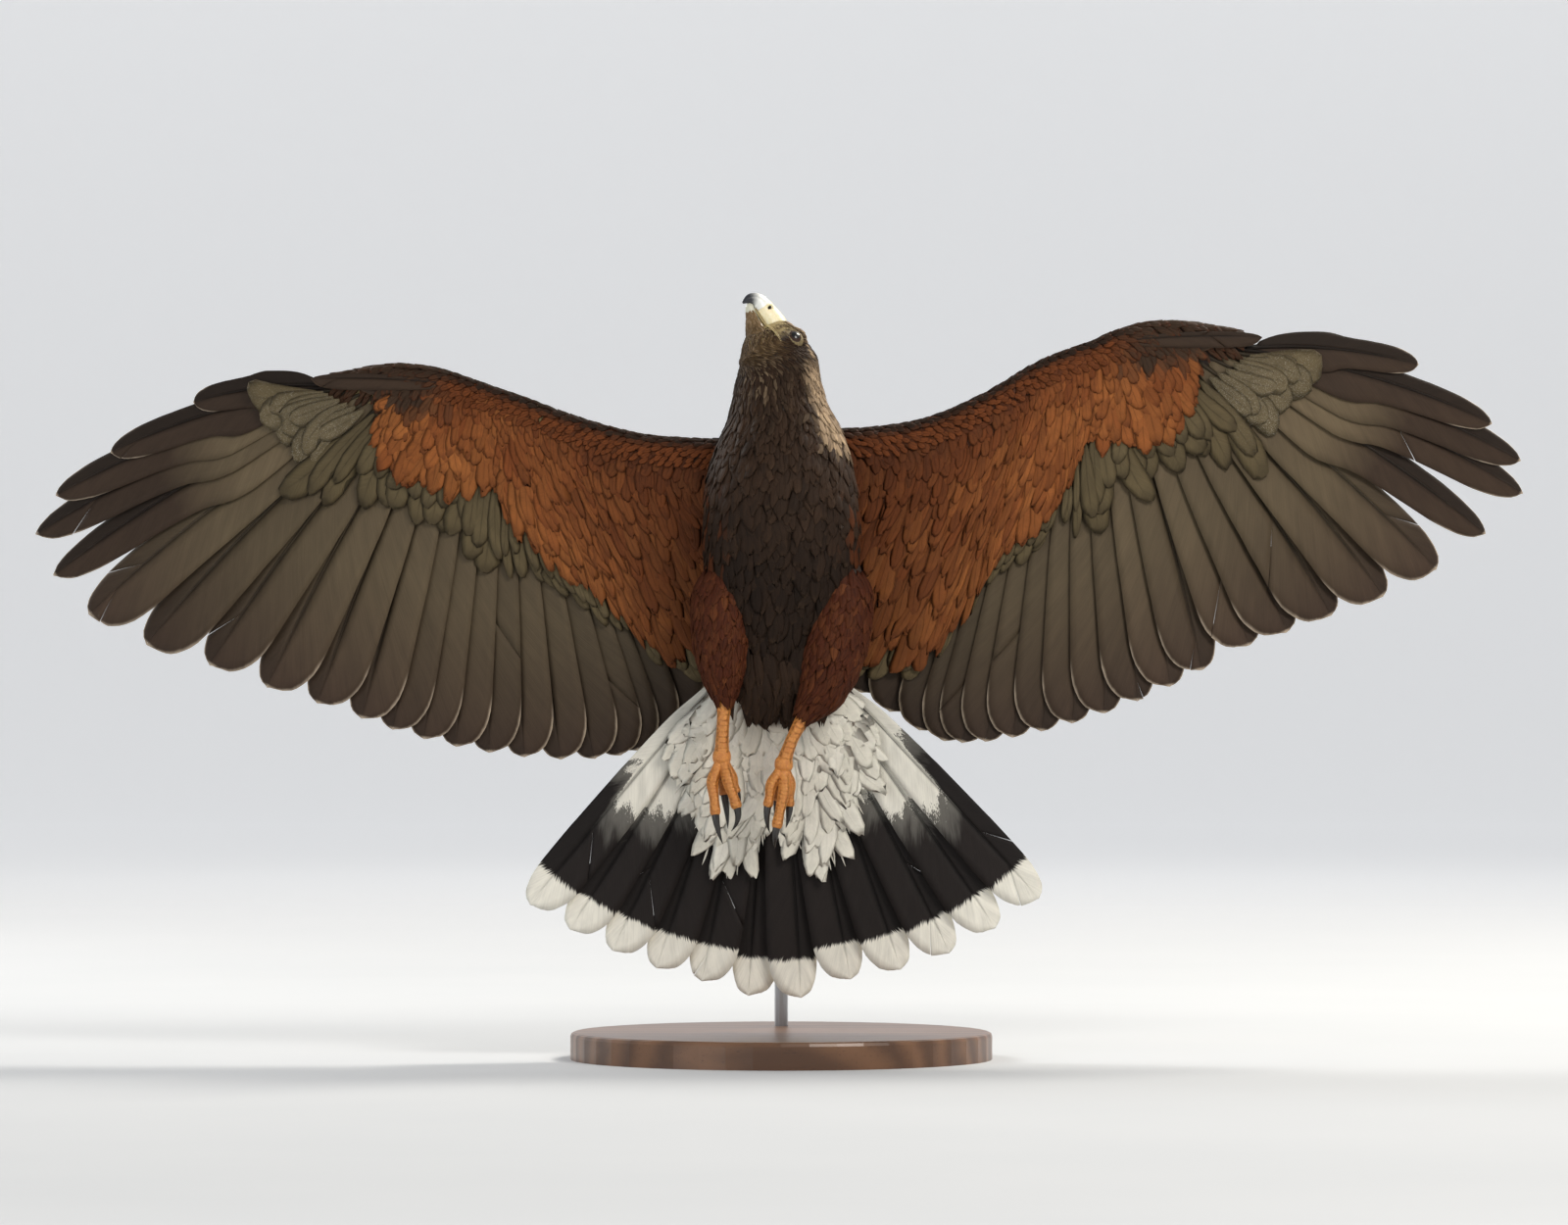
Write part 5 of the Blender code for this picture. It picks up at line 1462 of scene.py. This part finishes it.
def loreBristles(outer, run):
    surface = roundSurface(outer)
    tries = 9000
    r = rng.uniform(0, coat["bristleReach"], tries) / run * (body["rows"] - 1)
    c = rng.uniform(0, body["sides"], tries)
    local = headPlaces(surfacePoint(surface, r, c))
    bare = onLore(local) & ~nearEye(local, 1.05) & (local[:, 0] < 0.0285)
    chosen = np.flatnonzero(bare)[:coat["bristles"]]
    r, c = r[chosen], c[chosen]
    tint = mixRows(plumage["chocolate"], plumage["buff"], rng.uniform(0.1, 1.0, len(r)))
    seeds = seedTable(r, c, 0.0029, 0.00028, tint, tint, homePlaces(surface, r, c), tilt=0.16, lift=-0.0001,
                      turn=0.28, bend=0.25, arch=0.1)
    makePiece("loreBristles", layFeathers(surface, seeds, wispShape), coverLook)


chin = {
    "rows": (14, 58, 3.0),
    # the bill's own angle runs from its left side over the top: columns 30 to 60 are its underside
    "columns": (28.5, 61.8, 1.35),
    "length": (0.0042, 0.00004), "width": 0.0013,      # and how much longer with each row back
}


def chinFeathers():
    # olive feathers from the lower bill's front back to the throat
    grid, _ = billGrid(bill["lower"], 60, 60, meets=1)
    grid = grid[::-1]
    surface = roundSurface(grid)
    parts = []
    for order, r in enumerate(np.arange(*chin["rows"])):
        c = (np.arange(*chin["columns"]) + 0.6 * (order % 2)) % 60
        c = c + rng.normal(0, 0.2, len(c))
        tint = mixRows(plumage["chinOlive"], plumage["buff"], rng.uniform(0, 0.55, len(c)))
        tint = mixRows(tint, plumage["chocolateRim"], rng.uniform(0.0, 0.6, len(c)) * smoothStep(20, 55, r))
        home = homePlaces(surface, np.full(len(c), r), c)
        length = chin["length"][0] + chin["length"][1] * r
        seeds = seedTable(r + rng.normal(0, 0.8, len(c)), c, length, chin["width"], tint, tint, home,
                          tilt=0.1, lift=-0.0001, turn=0.16, arch=0.12)
        parts.append(layFeathers(surface, seeds, tuftShape))
    makePiece("feathers_chin", joinParts(parts), coverLook)


def bodyColours(points):
    count = len(points)
    x, y, z = points.T
    local = headPlaces(points)
    dark = 0.75 + 0.65 * smoothStep(0.36, 0.46, z)
    mottle = 1 + 0.22 * np.sin(x * 310 + np.sin(z * 120) * 2) * np.sin(z * 240 + x * 90)
    base = np.outer(dark * mottle * rng.uniform(0.85, 1.2, count), plumage["chocolate"])
    rim = mixRows(base, plumage["chocolateRim"], rng.uniform(0.0, 0.8, count))
    # buff streaks down the throat; a painted highlight on the left of the nape and a painted highlight line
    # over the eye
    neck = smoothStep(0.462, 0.492, z)
    paintedHighlight = np.array(plumage["buff"]) * 1.5
    around = np.arctan2(y + 0.005, x - 0.001) * 31 + rng.normal(0, 0.3, count)
    streak = smoothStep(0.35, 0.95, np.sin(around))
    band = np.exp(-((x + 0.016) / 0.01)**2) * smoothStep(0.484, 0.503, z)
    streak = streak * (0.1 * neck + 0.75 * band) * rng.uniform(0.4, 1.0, count)
    base, rim = mixRows(base, plumage["buff"], streak), mixRows(rim, plumage["buff"], streak)
    # painted highlight: the left of the nape lit pale buff, as sunlight on the neck
    nape = smoothStep(-0.0035, 0.0035, x - 0.0175 - 0.247 * (0.504 - z) + rng.normal(0, 0.0016, count))
    nape = nape * smoothStep(0.453, 0.464, z + rng.normal(0, 0.003, count)) * smoothStep(0.52, 0.505, z)
    pale = nape * smoothStep(0.01, -0.014, y) * rng.uniform(0.4, 1.0, count)
    base, rim = mixRows(base, paintedHighlight, pale * 0.95), mixRows(rim, paintedHighlight, pale)
    ahead, _, rise = local.T
    throat = smoothStep(0.002, 0.018, ahead) * smoothStep(-0.006, -0.013, rise)
    throat = throat * rng.uniform(0.1, 0.7, count)
    base, rim = mixRows(base, plumage["chinOlive"], throat), mixRows(rim, plumage["chinOlive"], throat)
    # painted highlight: a pale line along the brow over the eye
    brow = np.exp(-((rise - 0.0112) / 0.002)**2) * smoothStep(-0.004, 0.002, ahead) * (z > 0.45)
    base, rim = mixRows(base, paintedHighlight, brow), mixRows(rim, paintedHighlight, brow)
    # chestnut flecks along the flanks, white below the vent and on the rump
    some = rng.uniform(0, 1, count) < 0.3
    flank = smoothStep(0.036, 0.052, np.abs(x)) * smoothStep(0.445, 0.42, z) * some
    base = mixRows(base, np.array(plumage["chestnut"]) * 0.45, flank)
    rump = smoothStep(0.285, 0.262, z) * smoothStep(-0.004, 0.01, y)
    base, rim = mixRows(base, plumage["white"], rump), mixRows(rim, plumage["whiteShade"], rump)
    back = smoothStep(0.0, 0.02, y) * (1 - rump) * (1 - neck)
    base = mixRows(base, plumage["backBrown"], back * 0.6)
    rim = mixRows(rim, plumage["backRim"], back * 0.7)
    return base, rim


# Face: cere, bill, eyes and lids

bill = {
    "cere": [(0.0275, 0.0046, 0.0096, 0.0104), (0.0303, 0.0044, 0.0088, 0.01),
             (0.0373, 0.003, 0.0073, 0.0087), (0.044, 0.0014, 0.006, 0.0078)],
    "upper": [(0.0434, 0.0016, 0.0059, 0.0077), (0.0448, 0.0013, 0.0057, 0.0075),
              (0.0478, 0.0002, 0.0051, 0.0067), (0.0508, -0.0022, 0.0041, 0.0055),
              (0.0526, -0.0056, 0.003, 0.0041), (0.0527, -0.0092, 0.0019, 0.0025),
              (0.0519, -0.0125, 0.0007, 0.0008)],
    "lower": [(0.027, -0.0118, 0.0112, 0.0066), (0.0303, -0.0116, 0.0096, 0.0058),
              (0.035, -0.0111, 0.0073, 0.0048), (0.0394, -0.0102, 0.0053, 0.0038),
              (0.0445, -0.0095, 0.0037, 0.0034), (0.0482, -0.0087, 0.0027, 0.0026),
              (0.05, -0.0086, 0.0012, 0.0013)],
    "nostril": (0.0416, 0.0061, 0.0042),
    # the nostril's hollow and its raised rim: spread, height, how steep (2 is steeper than 1)
    "nostrilForms": [((0.0015, 0.003, 0.0025), -0.0028, 2), ((0.0024, 0.004, 0.0034), 0.00035, 1)],
    # line of the mouth: forward, up, out
    "mouth": [(0.0145, -0.008, 0.024), (0.022, -0.0071, 0.019), (0.03, -0.006, 0.0098),
              (0.033, -0.0058, 0.0072), (0.037, -0.0058, 0.0056), (0.0445, -0.0064, 0.0039)],
    "gape": 0.03,                       # how far the mouth runs back from the bill's side
    # lips: shift up, radius, share sunk in. The middle one is a dark strand of painted shade in the crease
    # between them.
    "lips": [(0.0005, 0.0005, 0.8), (0.0, 0.0005, 0.7), (-0.0006, 0.0006, 0.78)],
}


def billGrid(rows, steps, sides, keel=0.0, meets=-1):
    # the half that meets the other bill is squarer: below when meets is -1, above when it is 1
    run, table = 0.0, []
    for i, row in enumerate(rows):
        run += math.dist(row[:2], rows[i - 1][:2]) if i else 0.0
        table.append((run, *row))
    forward, left, up = (np.array(a) for a in headAxes())
    at = np.linspace(0, run, steps)
    ahead, rise, wide, high = (curveValues(table, at, k) for k in (1, 2, 3, 4))
    lineA, lineR = np.gradient(ahead), np.gradient(rise)
    size = np.hypot(lineA, lineR)
    lineA, lineR = lineA / size, lineR / size
    lineA[0], lineR[0] = 1.0, 0.0
    turns = fullTurn(sides)
    middle = np.array(body["headAt"]) + np.outer(ahead, forward) + np.outer(rise, up)
    riseWay = np.outer(lineA, up) - np.outer(lineR, forward)
    narrow = 1 - keel * np.clip(np.sin(turns), 0, 1)**2
    power = np.where(np.sin(turns) * meets > 0, 0.55, 1.0)
    wideness = np.sign(np.cos(turns)) * np.abs(np.cos(turns))**power * narrow
    grid = (middle[:, None] + (wide[:, None] * wideness)[..., None] * left
            + (high[:, None] * np.sin(turns))[..., None] * riseWay[:, None])
    return grid, at / run


def hornLook(name, pale, dark, fadeFrom, fadeTo):
    made, tree, shader = makeShader(name)
    share = field(tree, "share")
    cloud = noise(tree, objectPlaces(tree), 900.0)
    at = plus(tree, share, times(tree, minus(tree, cloud, 0.5), 0.12))
    colour = blendColour(tree, fadeIn(tree, at, fadeFrom, fadeTo), pale, dark)
    setShader(tree, shader, colour, {"Roughness": 0.32, "Coat Weight": 0.15, "Coat Roughness": 0.12})
    addBump(tree, shader, cloud, 0.15, 0.0002)
    return made


def waxLook(name, colour, deep, roughness, scale, relief):
    made, tree, shader = makeShader(name)
    where = objectPlaces(tree)
    cloud = noise(tree, where, scale)
    cells = addNode(tree, "ShaderNodeTexVoronoi", {"Vector": where, "Scale": scale * 1.1},
                    feature="DISTANCE_TO_EDGE")
    mixed = blendColour(tree, fadeIn(tree, cloud, 0.3, 0.8), deep, colour)
    setShader(tree, shader, mixed, {"Roughness": roughness, "Subsurface Weight": 0.1,
                                    "Subsurface Radius": (0.004, 0.002, 0.001), "Subsurface Scale": 0.5})
    grain = plus(tree, times(tree, cloud, 0.5), fadeIn(tree, cells, 0.0, 0.16))
    addBump(tree, shader, grain, relief, 0.00025)
    return made


def clawLook():
    made, tree, shader = makeShader("claw horn")
    cloud = noise(tree, objectPlaces(tree), 500.0)
    colour = blendColour(tree, cloud, (0.01, 0.009, 0.008), (0.045, 0.04, 0.036))
    setShader(tree, shader, colour, {"Roughness": 0.22})
    addBump(tree, shader, cloud, 0.2, 0.0002)
    return made


def eyeLook():
    made, tree, shader = makeShader("eye")
    ring = field(tree, "ring")
    cloud = noise(tree, objectPlaces(tree), 1400.0)
    iris = blendColour(tree, cloud, (0.014, 0.006, 0.003), (0.05, 0.02, 0.009))
    colour = blendColour(tree, fadeIn(tree, ring, 0.4, 0.43), (0.002, 0.002, 0.002), iris)
    colour = blendColour(tree, fadeIn(tree, ring, 0.78, 0.86), colour, (0.012, 0.009, 0.008))
    setShader(tree, shader, colour, {"Roughness": 0.35, "Specular IOR Level": 0.2, "Coat Weight": 0.55,
                                     "Coat Roughness": 0.02})
    return made


def faceOut(ahead, rise):
    # how far out the face's side is at a place on the head
    rows = [(a, r, w, d) for _, a, r, _, w, d in body["head"]]
    middle, wide, high = (curveAt(rows, ahead, k) for k in (1, 2, 3))
    return wide * math.sqrt(max(0.0, 1 - ((rise - middle) / high)**2))


def makeFace(waxy, lipLook, upperHorn, lowerHorn):
    grid, _ = billGrid(bill["cere"], 40, 64, keel=0.1)
    nostril = np.array(bill["nostril"])
    local = headPlaces(grid.reshape(-1, 3)).reshape(grid.shape)
    surface = roundSurface(grid)
    push = np.zeros(grid.shape[:2])
    for side in (1, -1):
        for spread, height, power in bill["nostrilForms"]:
            away = (local - nostril * (1, side, 1)) / spread
            push += height * np.exp(-(away**2).sum(-1)**power)
    grid = grid + surface["normal"] * push[..., None]
    makePiece("cere_skin", gridPart(grid), waxy, ["cere"])
    for name, keel, meets, horn in (("upper", 0.22, -1, upperHorn), ("lower", 0.0, 1, lowerHorn)):
        grid, share = billGrid(bill[name], 70, 56, keel, meets)
        part = gridPart(grid)
        part["fields"] = {"share": np.concatenate([np.repeat(share, 56), [0, 1]])}
        makePiece(f"bill_{name}_horn", part, horn, [f"bill_{name}"])
    # lips of the gape from the bill's root back under the eye, and a dark strand of painted shade in the
    # crease between them
    strands, shadeStrands = [], []
    for side in (1, -1):
        for shift, radius, sunk in bill["lips"]:
            rows = []
            for t in np.linspace(0, 1, 15):
                ahead = bill["mouth"][-1][0] - bill["gape"] * t
                up = curveAt(bill["mouth"], ahead, 1) + shift * (1 - 0.45 * t)
                near = float(smoothStep(0.0245, 0.03, ahead))
                out = faceOut(min(ahead, 0.0299), up) * (1 - near) + curveAt(bill["mouth"], ahead, 2) * near
                size = radius * (0.5 + 0.5 * smoothStep(0, 0.3, t)) * (1 - 0.9 * t**3)
                rows.append((*headPoint(ahead, (out - size * sunk) * side, up), size))
            (strands if shift else shadeStrands).append(gridPart(tubeGrid(rows, 70, 14)))
    makePiece("gape_lips", joinParts(strands), lipLook)
    # dark plugs sunk into both nostrils: painted shade inside the holes
    for side in (1, -1):
        ahead, out, up = bill["nostril"]
        rows = [(*headPoint(ahead + 0.0002 * k, (out - 0.0021) * side, up + k * 0.0005), r)
                for k, r in ((-4, 0.0003), (-2, 0.0011), (0, 0.0014), (2, 0.0012), (4, 0.0003))]
        shadeStrands.append(gridPart(tubeGrid(rows, 24, 16)))
    # one near-black material for the painted shade in the nostrils and the mouth's crease
    inside, _, shader = makeShader("nostril")
    shader.inputs["Base Color"].default_value = (0.012, 0.009, 0.007, 1.0)
    shader.inputs["Roughness"].default_value = 0.9
    makePiece("nostril_and_mouth_shade", joinParts(shadeStrands), inside)


def makeEyes(look, lidLook):
    forward, left, up = (np.array(a) for a in headAxes())
    radius, lidEnd = head["eyeRadius"], head["lidEnd"]
    for name, side in (("left", 1), ("right", -1)):
        ahead, out, rise = head["eye"]
        centre = np.array(headPoint(ahead, out * side, rise))
        axis = unit(left * side + forward * 0.5 + up * 0.08)
        toFront = unit(forward - axis * (forward @ axis))
        toTop = np.cross(axis, toFront) * side * -1
        toTop = toTop * np.sign(toTop @ up)
        polar = np.linspace(0.02, math.pi - 0.02, 60)
        turns = fullTurn(64)
        bulge = radius * (1 + 0.035 * np.exp(-(polar / 0.42)**2))
        ring = np.cos(turns)[:, None] * toFront + np.sin(turns)[:, None] * toTop
        depth, wide = ((bulge * part)[:, None, None] for part in (np.cos(polar), np.sin(polar)))
        part = gridPart(centre + depth * axis + wide * ring)
        part["fields"] = {"ring": np.concatenate([np.repeat(np.sin(np.minimum(polar, 1.57)), 64), [0, 1]])}
        makePiece(f"eye_{name}_ball", part, look, [f"eye_{name}"])

        def lidRow(height, angle):
            depth, wide = ((height * part)[:, None] for part in (np.cos(angle), np.sin(angle)))
            return centre + depth * axis + wide * ring

        # lids: a cap on the ball with an almond opening, a rolled edge and folds
        above = np.clip(np.sin(turns), 0, 1)
        opening = 0.63 + 0.15 * np.abs(np.cos(turns))**1.5 - 0.2 * above
        rows = []
        for s in np.linspace(0, 1, 16):
            roll, fold = 0.035 * math.exp(-((s - 0.1) / 0.08)**2), 0.018 * math.sin(s * 22) * (1 - s)
            height = radius * (1.02 + roll + fold + 0.03 * s * above)
            rows.append(lidRow(height, opening + (lidEnd - opening) * s))
        rows += [lidRow(radius * 1.004, angle) for angle in (lidEnd + 0 * turns, opening + 0.25, opening)]
        wrapped = gridPart(np.array([*rows, rows[0]]), caps=False)
        makePiece(f"lids_{name}", wrapped, lidLook)


# Stand

def standLooks():
    wood, tree, shader = makeShader("walnut")
    where = objectPlaces(tree)
    stretched = addNode(tree, "ShaderNodeMapping", {"Vector": where, "Scale": (3.0, 26.0, 26.0)})
    warp = noise(tree, stretched, 1.2, 4.0)
    waves = {"Vector": stretched, "Scale": 0.55, "Distortion": 5.0, "Detail": 4.0, "Detail Scale": 1.4}
    rings = addNode(tree, "ShaderNodeTexWave", waves, output=1, bands_direction="Y")
    fine = addNode(tree, "ShaderNodeMapping", {"Vector": where, "Scale": (60.0, 900.0, 900.0)})
    pores = noise(tree, fine, 1.0, 2.0)
    grain = plus(tree, times(tree, rings, 0.6), times(tree, warp, 0.4))
    colour = blendColour(tree, grain, (0.06, 0.026, 0.012), (0.21, 0.1, 0.046))
    dark = times(tree, fadeIn(tree, pores, 0.6, 0.75), 0.55)
    colour = blendColour(tree, dark, colour, (0.03, 0.014, 0.008))
    setShader(tree, shader, colour, {"Roughness": 0.36, "Coat Weight": 0.22, "Coat Roughness": 0.25})
    addBump(tree, shader, minus(tree, 1.0, pores), 0.12, 0.0004)
    steel, tree, shader = makeShader("brushed steel")
    drawn = addNode(tree, "ShaderNodeMapping", {"Vector": objectPlaces(tree), "Scale": (900.0, 900.0, 30.0)})
    lines = noise(tree, drawn, 1.0, 2.0)
    colour = blendColour(tree, lines, (0.3, 0.3, 0.31), (0.52, 0.52, 0.53))
    setShader(tree, shader, colour, {"Metallic": 1.0})
    tree.links.new(addNode(tree, "ShaderNodeMapRange", {"Value": lines, "To Min": 0.24, "To Max": 0.4}),
                   shader.inputs["Roughness"])
    return wood, steel


def makeStand():
    wood, steel = standLooks()
    for name, look in (("stand_base", wood), ("stand_rod", steel)):
        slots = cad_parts[name].data.materials
        slots.clear()
        slots.append(look)


# Floor, camera and lights

view = {"middle": (0.002, 0.328), "distance": 6.0, "lens": 187.5}
studio = {
    "nearFloor": [(0.52, 0.535, 0.55), (0.56, 0.57, 0.58)],
    # the far floor's paleness is painted light that makes up for the lamps' falloff
    "farFloor": (0.94, 0.945, 0.95),    # paler, so that the floor's edge doesn't show
    "fade": (1.2, 4.4),                 # metres from the bird
    # the far floor and the backdrop glow: painted light from an emission of their own
    "farLight": 0.22,                   # the far floor and the backdrop are lit on their own
    "front": -40.0, "halfWidth": 30.0,
    "bend": 6.6,                        # where the floor starts to curve up, behind every view
    "bendRadius": 1.6, "top": 9.0,
    # place, target, size, power, colour
    "lamps": {
        "key": ((1.9, -2.5, 2.6), (0, 0, 0.35), 1.3, 80, (1.0, 0.95, 0.88)),
        "fill": ((-2.4, -2.6, 1.0), (0, 0, 0.35), 2.2, 26, (0.95, 0.98, 1.0)),
        "rim": ((1.5, 1.3, 2.4), (0, 0, 0.42), 0.7, 80, (1.0, 0.95, 0.86)),
        "back": ((-1.8, 1.4, 1.8), (0, 0, 0.35), 0.9, 40, (1.0, 0.98, 0.95)),
    },
    "sky": (0.86, 0.88, 0.92), "skyStrength": 0.42,
}


def makeStage():
    look, tree, shader = makeShader("floor")
    where = objectPlaces(tree)
    cloud = noise(tree, where, 3.0)
    away = addNode(tree, "ShaderNodeVectorMath", {0: where}, output=1, operation="LENGTH")
    near = blendColour(tree, cloud, *studio["nearFloor"])
    far = fadeIn(tree, away, *studio["fade"])
    # paler far away: painted light making up for the lamps' falloff
    colour = blendColour(tree, far, near, studio["farFloor"])
    setShader(tree, shader, colour, {"Roughness": 0.8, "Specular IOR Level": 0.1,
                                     "Emission Color": (*studio["farFloor"], 1.0)})
    # the far floor and the backdrop glow with painted light
    tree.links.new(times(tree, far, studio["farLight"]), shader.inputs["Emission Strength"])
    # floor that curves up into a backdrop
    bend, radius = studio["bend"], studio["bendRadius"]
    profile = [(studio["front"], 0.0)]
    for turn in np.linspace(0, math.pi / 2, 24):
        profile.append((bend + radius * math.sin(turn), radius - radius * math.cos(turn)))
    profile.append((bend + radius, studio["top"]))
    grid = np.array([[(x, y, z) for x in (-studio["halfWidth"], studio["halfWidth"])] for y, z in profile])
    mesh = makeMesh("floor", gridPart(grid, wrap=False, caps=False))
    mesh.shade_smooth()
    mesh.materials.append(look)
    addObject("floor", mesh)


def areaLight(name, at, target, size, power, colour):
    lamp = bpy.data.lights.new(name, "AREA")
    lamp.size = size
    lamp.energy = power
    lamp.color = colour
    made = addObject(name, lamp)
    made.location = at
    made.rotation_euler = (Vector(target) - Vector(at)).to_track_quat("-Z", "Y").to_euler()


def makeCamera():
    data = bpy.data.cameras.new("camera")
    data.lens = view["lens"]
    data.sensor_width = 36.0
    data.clip_end = 60.0
    camera = addObject("camera", data)
    camera.location = (view["middle"][0], -view["distance"], view["middle"][1])
    camera.rotation_euler = (math.radians(90), 0, 0)
    bpy.context.scene.camera = camera


def makeLights():
    for name, settings in studio["lamps"].items():
        areaLight(name, *settings)
    world = bpy.data.worlds.new("studio")
    world.use_nodes = True
    sky = world.node_tree.nodes["Background"]
    sky.inputs[0].default_value = (*studio["sky"], 1.0)
    sky.inputs[1].default_value = studio["skyStrength"]
    bpy.context.scene.world = world
    bpy.context.scene.view_settings.view_transform = "Standard"


# Putting it together

# colour, deeper colour, roughness, scale and relief of the bare skins
bareSkins = {
    "foot skin": ((0.68, 0.29, 0.062), (0.5, 0.17, 0.034), 0.48, 620.0, 0.45),
    "cere skin": ((0.84, 0.78, 0.58), (0.76, 0.66, 0.38), 0.36, 400.0, 0.12),
    "gape skin": ((0.62, 0.49, 0.24), (0.44, 0.33, 0.14), 0.45, 700.0, 0.2),
    # eyelid skin: olive-yellow, painted darker as shade from the brow
    "eyelid skin": ((0.27, 0.205, 0.085), (0.12, 0.085, 0.038), 0.55, 900.0, 0.3),
}
# paler colour, darker colour, where the change starts and ends along the bill
horns = {
    "upper bill": ((0.74, 0.75, 0.71), (0.02, 0.022, 0.028), 0.28, 0.7),
    "lower bill": ((0.21, 0.15, 0.07), (0.56, 0.55, 0.44), 0.3, 0.6),
}

makeCamera()
makeLights()
makeStage()
makeStand()
print("stage and stand ready")

outer, run = bodyGrid(False)
inner, _ = bodyGrid(True)
outer, inner = shapeFace(outer), shapeFace(inner)
thighRows = [thighFeathers(name, leg) for name, leg in legs.items()]
bodySkin(inner, thighRows, skinLook())
coatRoot = mixRows(inner, outer, np.full(inner.shape[:2], 0.35))
bodyFeathers(coatRoot, run)
loreBristles(coatRoot, run)
print("body ready")

for wingName, wingSizes in wings.items():
    wingFlight(wingName, wingSizes)
    wingLining(wingName, wingSizes)
    wingBack(wingName, wingSizes)
    wingEdge(wingName, wingSizes)
    wingAlula(wingName, wingSizes)
print("wings ready")

tailFeathers()
tailCoverts()
ventFringe()
print("tail ready")

skins = {name: waxLook(name, *settings) for name, settings in bareSkins.items()}
clawHorn = clawLook()
for legName, leg in legs.items():
    legSkin(legName, leg, skins["foot skin"])
    claws(legName, leg, clawHorn)
upperHorn, lowerHorn = (hornLook(name, *settings) for name, settings in horns.items())
makeFace(skins["cere skin"], skins["gape skin"], upperHorn, lowerHorn)
chinFeathers()
makeEyes(eyeLook(), skins["eyelid skin"])
print("head and feet ready")
